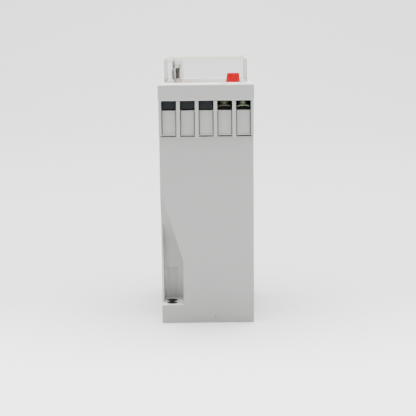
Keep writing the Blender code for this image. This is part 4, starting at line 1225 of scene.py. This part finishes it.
@dataclass
class DialPlate(SubAssembly):
    """The dial plate with its printed scale, and the shaft that comes through it."""

    steps: int = 10
    sweep: float = math.radians(270.0)
    start: float = math.radians(135.0)
    ring_radius: float = 8.2
    tick: float = 1.0
    long_tick: float = 1.9
    arc_steps: int = 64
    text_scale: float = 1.35
    figure_radius: float = 11.9
    figure_height: float = 2.1
    line: float = 0.22
    ink: float = 0.03
    border_inset: float = 0.9
    selector_figures: int = 4
    selector_radius: float = 3.7

    def build(self) -> None:
        """Softens the plate and prints on it."""
        plate = Form.of_node("front_panel").soften(0.1)
        self.settle(plate, "dial_plate", "housing", "panel_white", "front_panel")
        shaft = Form.of_node("pot_shaft").soften(0.1)
        self.settle(shaft, "dial_shaft", "pointer", "bright_steel", "pot_shaft")
        centre = pivot("time_setting")
        top = span("front_panel")[1].z
        print_form = Form()
        self.scale(print_form, centre, top)
        self.border(print_form, top)
        for joint in ("range_select", "function_select"):
            self.selector_marks(print_form, joint, top)
        self.settle(print_form, "dial_print", "housing", "dark_plastic")

    def angle(self, share: float) -> float:
        """The angle of a share of the scale, clockwise from its start."""
        return self.start - share * self.sweep

    def scale(self, form: Form, centre: Vector, top: float) -> None:
        """Prints the arc, its ticks and its figures.

        Args:
            form: the print.
            centre: the dial's axis.
            top: the plate's top.
        """
        self.arc(form, centre, top, self.ring_radius, self.angle(1.0), self.angle(0.0))
        for index in range(self.steps * 5 + 1):
            share = index / (self.steps * 5)
            length = self.long_tick if index % 5 == 0 else self.tick
            self.mark(form, centre, top, self.angle(share), self.ring_radius, self.ring_radius + length)
        for index in range(self.steps + 1):
            angle = self.angle(index / self.steps)
            way = Vector((math.cos(angle), math.sin(angle), 0.0))
            self.figure(form, str(index), centre + way * self.figure_radius, top, self.figure_height)

    def arc(self, form: Form, centre: Vector, top: float, radius: float, low: float, high: float) -> None:
        """Prints an arc.

        Args:
            form: the print.
            centre: the arc's centre.
            top: the plate's top.
            radius: its middle radius.
            low: its lowest angle.
            high: its highest angle.
        """
        mesh = form.mesh
        inner, outer, roof = radius - self.line / 2, radius + self.line / 2, top + self.ink
        corners = ((inner, top), (outer, top), (outer, roof), (inner, roof))
        way = Vector((math.cos(low), math.sin(low), 0.0))
        rim = [mesh.verts.new((centre.x + r * way.x, centre.y + r * way.y, z)) for r, z in corners]
        start = mesh.faces.new(rim)
        cent = (centre.x, centre.y, 0.0)
        bmesh.ops.spin(mesh, geom=[start], cent=cent, axis=UP, angle=high - low, steps=self.arc_steps)
        bmesh.ops.recalc_face_normals(mesh, faces=mesh.faces)

    def mark(self, form: Form, centre: Vector, top: float, angle: float, inner: float, outer: float) -> None:
        """Prints a straight line away from a centre.

        Args:
            form: the print.
            centre: the centre.
            top: the plate's top.
            angle: the line's direction.
            inner: where it starts.
            outer: where it ends.
        """
        half = self.line / 2
        corners = form.block((inner, -half, top), (outer, half, top + self.ink))
        turn = Matrix.Rotation(angle, 3, "Z")
        bmesh.ops.rotate(form.mesh, cent=(0.0, 0.0, 0.0), matrix=turn, verts=corners)
        bmesh.ops.translate(form.mesh, vec=(centre.x, centre.y, 0.0), verts=corners)

    def figure(self, form: Form, text: str, at: Vector, top: float, height: float) -> None:
        """Prints a number whose top points along +X.

        Args:
            form: the print.
            text: the number.
            at: its middle.
            top: the plate's top.
            height: the height of its figures.
        """
        curve = bpy.data.curves.new("figure", "FONT")
        curve.body = text
        curve.align_x = "CENTER"
        curve.align_y = "CENTER"
        curve.size = height * self.text_scale
        curve.extrude = self.ink / 2
        curve.resolution_u = 4
        holder = bpy.data.objects.new("figure", curve)
        bpy.context.scene.collection.objects.link(holder)
        data = holder.to_mesh()
        turn = Matrix.Rotation(-math.pi / 2, 4, "Z")
        data.transform(Matrix.Translation((at.x, at.y, top + self.ink / 2)) @ turn)
        form.mesh.from_mesh(data)
        holder.to_mesh_clear()
        bpy.data.objects.remove(holder)
        bpy.data.curves.remove(curve)

    def border(self, form: Form, top: float) -> None:
        """Prints a thin frame just inside the plate's edge.

        Args:
            form: the print.
            top: the plate's top.
        """
        low, high = span("front_panel")
        inset = Vector((self.border_inset, self.border_inset, 0.0))
        low, high = low + inset, high - inset
        width = self.line
        for x in (low.x, high.x - width):
            form.block((x, low.y, top), (x + width, high.y, top + self.ink))
        for y in (low.y, high.y - width):
            form.block((low.x + width, y, top), (high.x - width, y + width, top + self.ink))

    def selector_marks(self, form: Form, joint: str, top: float) -> None:
        """Prints a selector's four ticks and their numbers.

        Args:
            form: the print.
            joint: the selector's joint.
            top: the plate's top.
        """
        centre = pivot(joint)
        way_in = -1.0 if centre.y > 0 else 1.0
        for index in range(self.selector_figures):
            angle = math.pi + way_in * math.radians(30 + 40 * index)
            self.mark(form, centre, top, angle, self.selector_radius - 0.7, self.selector_radius)
            way = Vector((math.cos(angle), math.sin(angle), 0.0))
            at = centre + way * (self.selector_radius + 1.0)
            if abs(at.y) < span("front_panel")[1].y - 2.0:
                self.figure(form, str(index + 1), at, top, 1.1)

    def dress(self) -> None:
        """Gives the plate, its print and the shaft their finishes."""
        self.wear_finish(PANEL_WHITE, "dial_plate")
        self.wear_finish(INK_BLACK, "dial_print")
        self.wear_finish(ZINC_BRIGHT, "dial_shaft")


@dataclass
class Selectors(SubAssembly):
    """The two slotted selectors."""

    edge_round: float = 0.1

    def build(self) -> None:
        """Softens both selectors."""
        for node, body in (("range_selector", "range_rotor"), ("function_selector", "function_rotor")):
            form = Form.of_node(node).soften(self.edge_round)
            self.settle(form, node + "_knob", body, "light_grey", node)

    def dress(self) -> None:
        """Gives both their white and the switches their black."""
        self.wear_finish(SELECTOR_WHITE, "range_selector_knob", "function_selector_knob")
        self.wear_finish(SWITCH_BLACK, "range_switch", "function_switch")


@dataclass
class Lamps(SubAssembly):
    """The two lamps: round domes on a flange, with their leads."""

    radius: float = 1.5
    flange: float = 1.7
    body_height: float = 4.0
    lead: float = 0.5
    lead_spacing: float = 1.6

    def build(self) -> None:
        """Makes both lamps."""
        for node, slot in (("power_lamp", "led_green"), ("output_lamp", "led_yellow")):
            low, high = span(node)
            centre = (low + high) / 2
            base = high.z - self.radius - self.body_height + 0.2
            shoulder = high.z - self.radius
            bows = [math.radians(angle) for angle in range(0, 90, 9)]
            dome = [(self.radius * math.cos(bow), shoulder + self.radius * math.sin(bow)) for bow in bows]
            form = Form()
            rim = [(0.0, base), (self.flange, base), (self.flange, base + 0.6), (self.radius, base + 0.7)]
            form.turned([*rim, *dome, (0.0, high.z)], centre)
            for side in (-1, 1):
                x = centre.x + side * self.lead_spacing / 2
                half = self.lead / 2
                form.block((x - half, centre.y - half, low.z), (x + half, centre.y + half, base + 0.1))
            self.settle(form, node + "_lens", "housing", slot, node)

    def dress(self) -> None:
        """Gives each lamp its colour."""
        self.wear_finish(LAMP_GREEN, "power_lamp_lens")
        self.wear_finish(LAMP_YELLOW, "output_lamp_lens")


@dataclass
class TerminalRow(SubAssembly):
    """One end's terminals: the dark block with its plugs, and each busbar, arched clamp and screw."""

    end: End = End.SUPPLY
    count: int = 2
    arch: float = 0.75
    arch_steps: int = 12
    dull_cell: int = 1

    @property
    def label(self) -> str:
        """The name that the row's nodes start with."""
        return self.end.name.lower()

    def build(self) -> None:
        """Softens the block, busbars and screws, and arches the clamps."""
        block = self.label + "_terminal_block"
        self.settle(Form.of_node(block).soften(0.2), self.label + "_block", "housing", "dark_plastic", block)
        for index in range(1, self.count + 1):
            start = f"{self.label}_{index}_"
            screw = Form.of_node(start + "screw").soften(0.12)
            self.settle(screw, start + "screw_head", "housing", "plated_steel", start + "screw")
            bar = Form.of_node(start + "busbar").soften(0.1)
            self.settle(bar, start + "bar", "housing", "brass", start + "busbar")
            clamp = start + "clamp_plate"
            self.settle(self.saddle(clamp), start + "saddle", "housing", "plated_steel", clamp)

    def saddle(self, node: str) -> Form:
        """A clamp plate bowed up across its width, with its hole left out of sight under the screw.

        Args:
            node: the plain clamp.

        Returns:
            The arched clamp.
        """
        low, high = span(node)
        form = Form()
        form.block(tuple(low), tuple(high))
        across = [edge for edge in form.mesh.edges if runs(edge, Axis.X)]
        bmesh.ops.subdivide_edges(form.mesh, edges=across, cuts=self.arch_steps - 1, use_grid_fill=True)
        centre, half = (low.x + high.x) / 2, (high.x - low.x) / 2
        for vert in form.mesh.verts:
            share = (vert.co.x - centre) / half
            vert.co.z += self.arch * (0.4 - share * share)
        form.soften(0.14, 2, 50.0)
        return form

    def dress(self) -> None:
        """Gives the row its metals and its dark plastic."""
        self.wear_finish(BLOCK_DARK, self.label + "_block")
        for index in range(1, self.count + 1):
            start = f"{self.label}_{index}_"
            # Painted shade: one terminal per row takes the darker zinc.
            shade = ZINC_SHADED if index == self.dull_cell else ZINC_GREEN
            self.wear_finish(shade, start + "screw_head", start + "saddle")
            self.wear_finish(BAR_SHADED, start + "bar")


@dataclass
class RailLatch(SubAssembly):
    """The sliding latch and its spring."""

    edge_round: float = 0.25

    def build(self) -> None:
        """Softens the latch."""
        form = Form.of_node("rail_latch").soften(self.edge_round)
        self.settle(form, "latch_slider", "latch", "dark_plastic", "rail_latch")

    def dress(self) -> None:
        """Gives the latch its dark plastic and the spring its zinc."""
        self.wear_finish(LATCH_DARK, "latch_slider")
        self.wear_finish(ZINC_BRIGHT, "latch_spring")


@dataclass
class Electronics(SubAssembly):
    """Everything that the case hides: boards, transformer, relay and the smaller components."""

    def dress(self) -> None:
        """Gives each hidden part its finish."""
        finishes = {
            BOARD_GREEN: ("front_board", "main_board"),
            SWITCH_BLACK: ("board_header", "timer_chip", "bridge_rectifier", "relay_base", "relay_bobbin"),
            ZINC_BRIGHT: ("pot_body",),
            CORE_SHEETS: ("transformer_core",),
            BOBBIN_CREAM: ("transformer_bobbin",),
            PRIMARY_WIRE: ("transformer_primary_winding",),
            SECONDARY_WIRE: ("transformer_secondary_winding",),
            COVER_CLEAR: ("relay_cover",),
            RELAY_WIRE: ("relay_winding",),
            SOFT_IRON: ("relay_yoke", "relay_armature"),
            BRASS: ("relay_moving_contact", "relay_contact_open", "relay_contact_closed"),
            SLEEVE_BLUE: ("filter_capacitor",),
            DIP_OCHRE: ("timing_capacitor",),
            DIP_BLUE: ("varistor",),
            RESISTOR_BODY: ("fuse_resistor",),
            SHEET_FIBRE: ("insulating_sheet",),
        }
        for finish, nodes in finishes.items():
            self.wear_finish(finish, *nodes)


# ---------------------------------------------------------------------- studio


@dataclass(frozen=True)
class Softbox:
    """A square soft light, its side in metres and its power in watts."""

    name: str
    at: Point
    towards: Point
    side: float
    power: float


SOFTBOXES = (
    Softbox("overhead_softbox", at=(0.0, 0.12, 1.6), towards=(0.0, 0.0, 0.0), side=1.8, power=140.0),
    Softbox("left_softbox", at=(-1.4, -0.8, 0.5), towards=(0.0, 0.0, 0.05), side=1.2, power=3.0),
    Softbox("right_softbox", at=(1.3, -0.9, 0.9), towards=(0.0, 0.0, 0.06), side=1.2, power=1.0),
)


@dataclass
class Studio:
    """The pale sweep, the soft lights and the camera."""

    camera_at: Point = (-0.00074, -0.5256, 0.13885)
    yaw: float = math.radians(0.138)
    pitch: float = math.radians(9.537)
    roll: float = math.radians(-0.606)
    focal: float = 90.27
    sensor: float = 36.0
    clip_start: float = 0.02
    sweep_near: float = -1.6
    sweep_far: float = 1.6
    sweep_half: float = 2.2
    sweep_height: float = 2.4
    sweep_round: float = 0.8
    sweep_steps: int = 24
    air_colour: Colour = (0.95, 0.97, 1.0)
    ambient: float = 0.45

    def build(self) -> None:
        """Sets up the sweep, the lights and the camera."""
        self.sweep()
        for softbox in SOFTBOXES:
            self.light(softbox)
        world = bpy.data.worlds.new("studio_air")
        world.use_nodes = True
        air = world.node_tree.nodes["Background"]
        air.inputs["Color"].default_value = (*self.air_colour, 1.0)
        air.inputs["Strength"].default_value = self.ambient
        bpy.context.scene.world = world
        self.camera()

    def sweep(self) -> None:
        """Makes the floor that curves up into a backdrop."""
        mesh = bmesh.new()
        half = self.sweep_half
        start = [mesh.verts.new((x, self.sweep_near, 0.0)) for x in (-half, half)]
        edge = mesh.edges.new(start)
        reach = self.sweep_far - self.sweep_round
        made = bmesh.ops.extrude_edge_only(mesh, edges=[edge])["geom"]
        far = [item for item in made if isinstance(item, bmesh.types.BMVert)]
        bmesh.ops.translate(mesh, vec=(0.0, reach - self.sweep_near, 0.0), verts=far)
        turning = [item for item in made if isinstance(item, bmesh.types.BMEdge)]
        top_edges = [item for item in turning if all(vert in far for vert in item.verts)]
        made = bmesh.ops.spin(
            mesh,
            geom=[*far, *top_edges],
            cent=(0.0, reach, self.sweep_round),
            axis=(1.0, 0.0, 0.0),
            angle=math.pi / 2,
            steps=self.sweep_steps,
        )["geom_last"]
        ends = [item for item in made if isinstance(item, bmesh.types.BMEdge)]
        made = bmesh.ops.extrude_edge_only(mesh, edges=ends)["geom"]
        top = [item for item in made if isinstance(item, bmesh.types.BMVert)]
        bmesh.ops.translate(mesh, vec=(0.0, 0.0, self.sweep_height), verts=top)
        data = bpy.data.meshes.new("paper_sweep")
        mesh.to_mesh(data)
        mesh.free()
        data.shade_smooth()
        data.materials.append(PAPER_WHITE.material())
        floor = bpy.data.objects.new("paper_sweep", data)
        bpy.context.scene.collection.objects.link(floor)

    def light(self, softbox: Softbox) -> None:
        """Adds a square soft light.

        Args:
            softbox: the light's values.
        """
        lamp = bpy.data.lights.new(softbox.name, "AREA")
        lamp.shape = "SQUARE"
        lamp.size = softbox.side
        lamp.energy = softbox.power
        holder = bpy.data.objects.new(softbox.name, lamp)
        holder.location = softbox.at
        way = Vector(softbox.towards) - Vector(softbox.at)
        holder.rotation_euler = way.to_track_quat("-Z", "Y").to_euler()
        bpy.context.scene.collection.objects.link(holder)

    def camera(self) -> None:
        """Adds the camera, turned by its yaw, pitch and roll."""
        level_x = math.cos(self.pitch)
        forward = Vector((math.sin(self.yaw) * level_x, math.cos(self.yaw) * level_x, -math.sin(self.pitch)))
        right = Vector((math.cos(self.yaw), -math.sin(self.yaw), 0.0))
        up = right.cross(forward)
        side = math.cos(self.roll) * right + math.sin(self.roll) * up
        top = math.cos(self.roll) * up - math.sin(self.roll) * right
        lens = bpy.data.cameras.new("studio_camera")
        lens.lens = self.focal
        lens.sensor_width = self.sensor
        lens.clip_start = self.clip_start
        holder = bpy.data.objects.new("studio_camera", lens)
        turn = Matrix((side, top, -forward)).transposed().to_4x4()
        holder.matrix_world = Matrix.Translation(self.camera_at) @ turn
        bpy.context.scene.collection.objects.link(holder)
        bpy.context.scene.camera = holder


def main() -> None:
    """Builds and dresses each sub-assembly, then the studio."""
    logging.basicConfig(level=logging.INFO, format="%(name)s: %(message)s")
    assemblies = [
        CaseBody(),
        TerminalCap(),
        ClearLid(),
        TimePointer(),
        DialPlate(),
        Selectors(),
        Lamps(),
        TerminalRow(end=End.SUPPLY, count=2),
        TerminalRow(end=End.CONTACT, count=3),
        RailLatch(),
        Electronics(),
    ]
    for assembly in assemblies:
        assembly.build()
        assembly.dress()
        for name, piece in assembly.made.items():
            LOG.info("%s: %s, %d faces", type(assembly).__name__, name, len(piece.data.polygons))
    Studio().build()


if __name__ == "__main__":
    main()
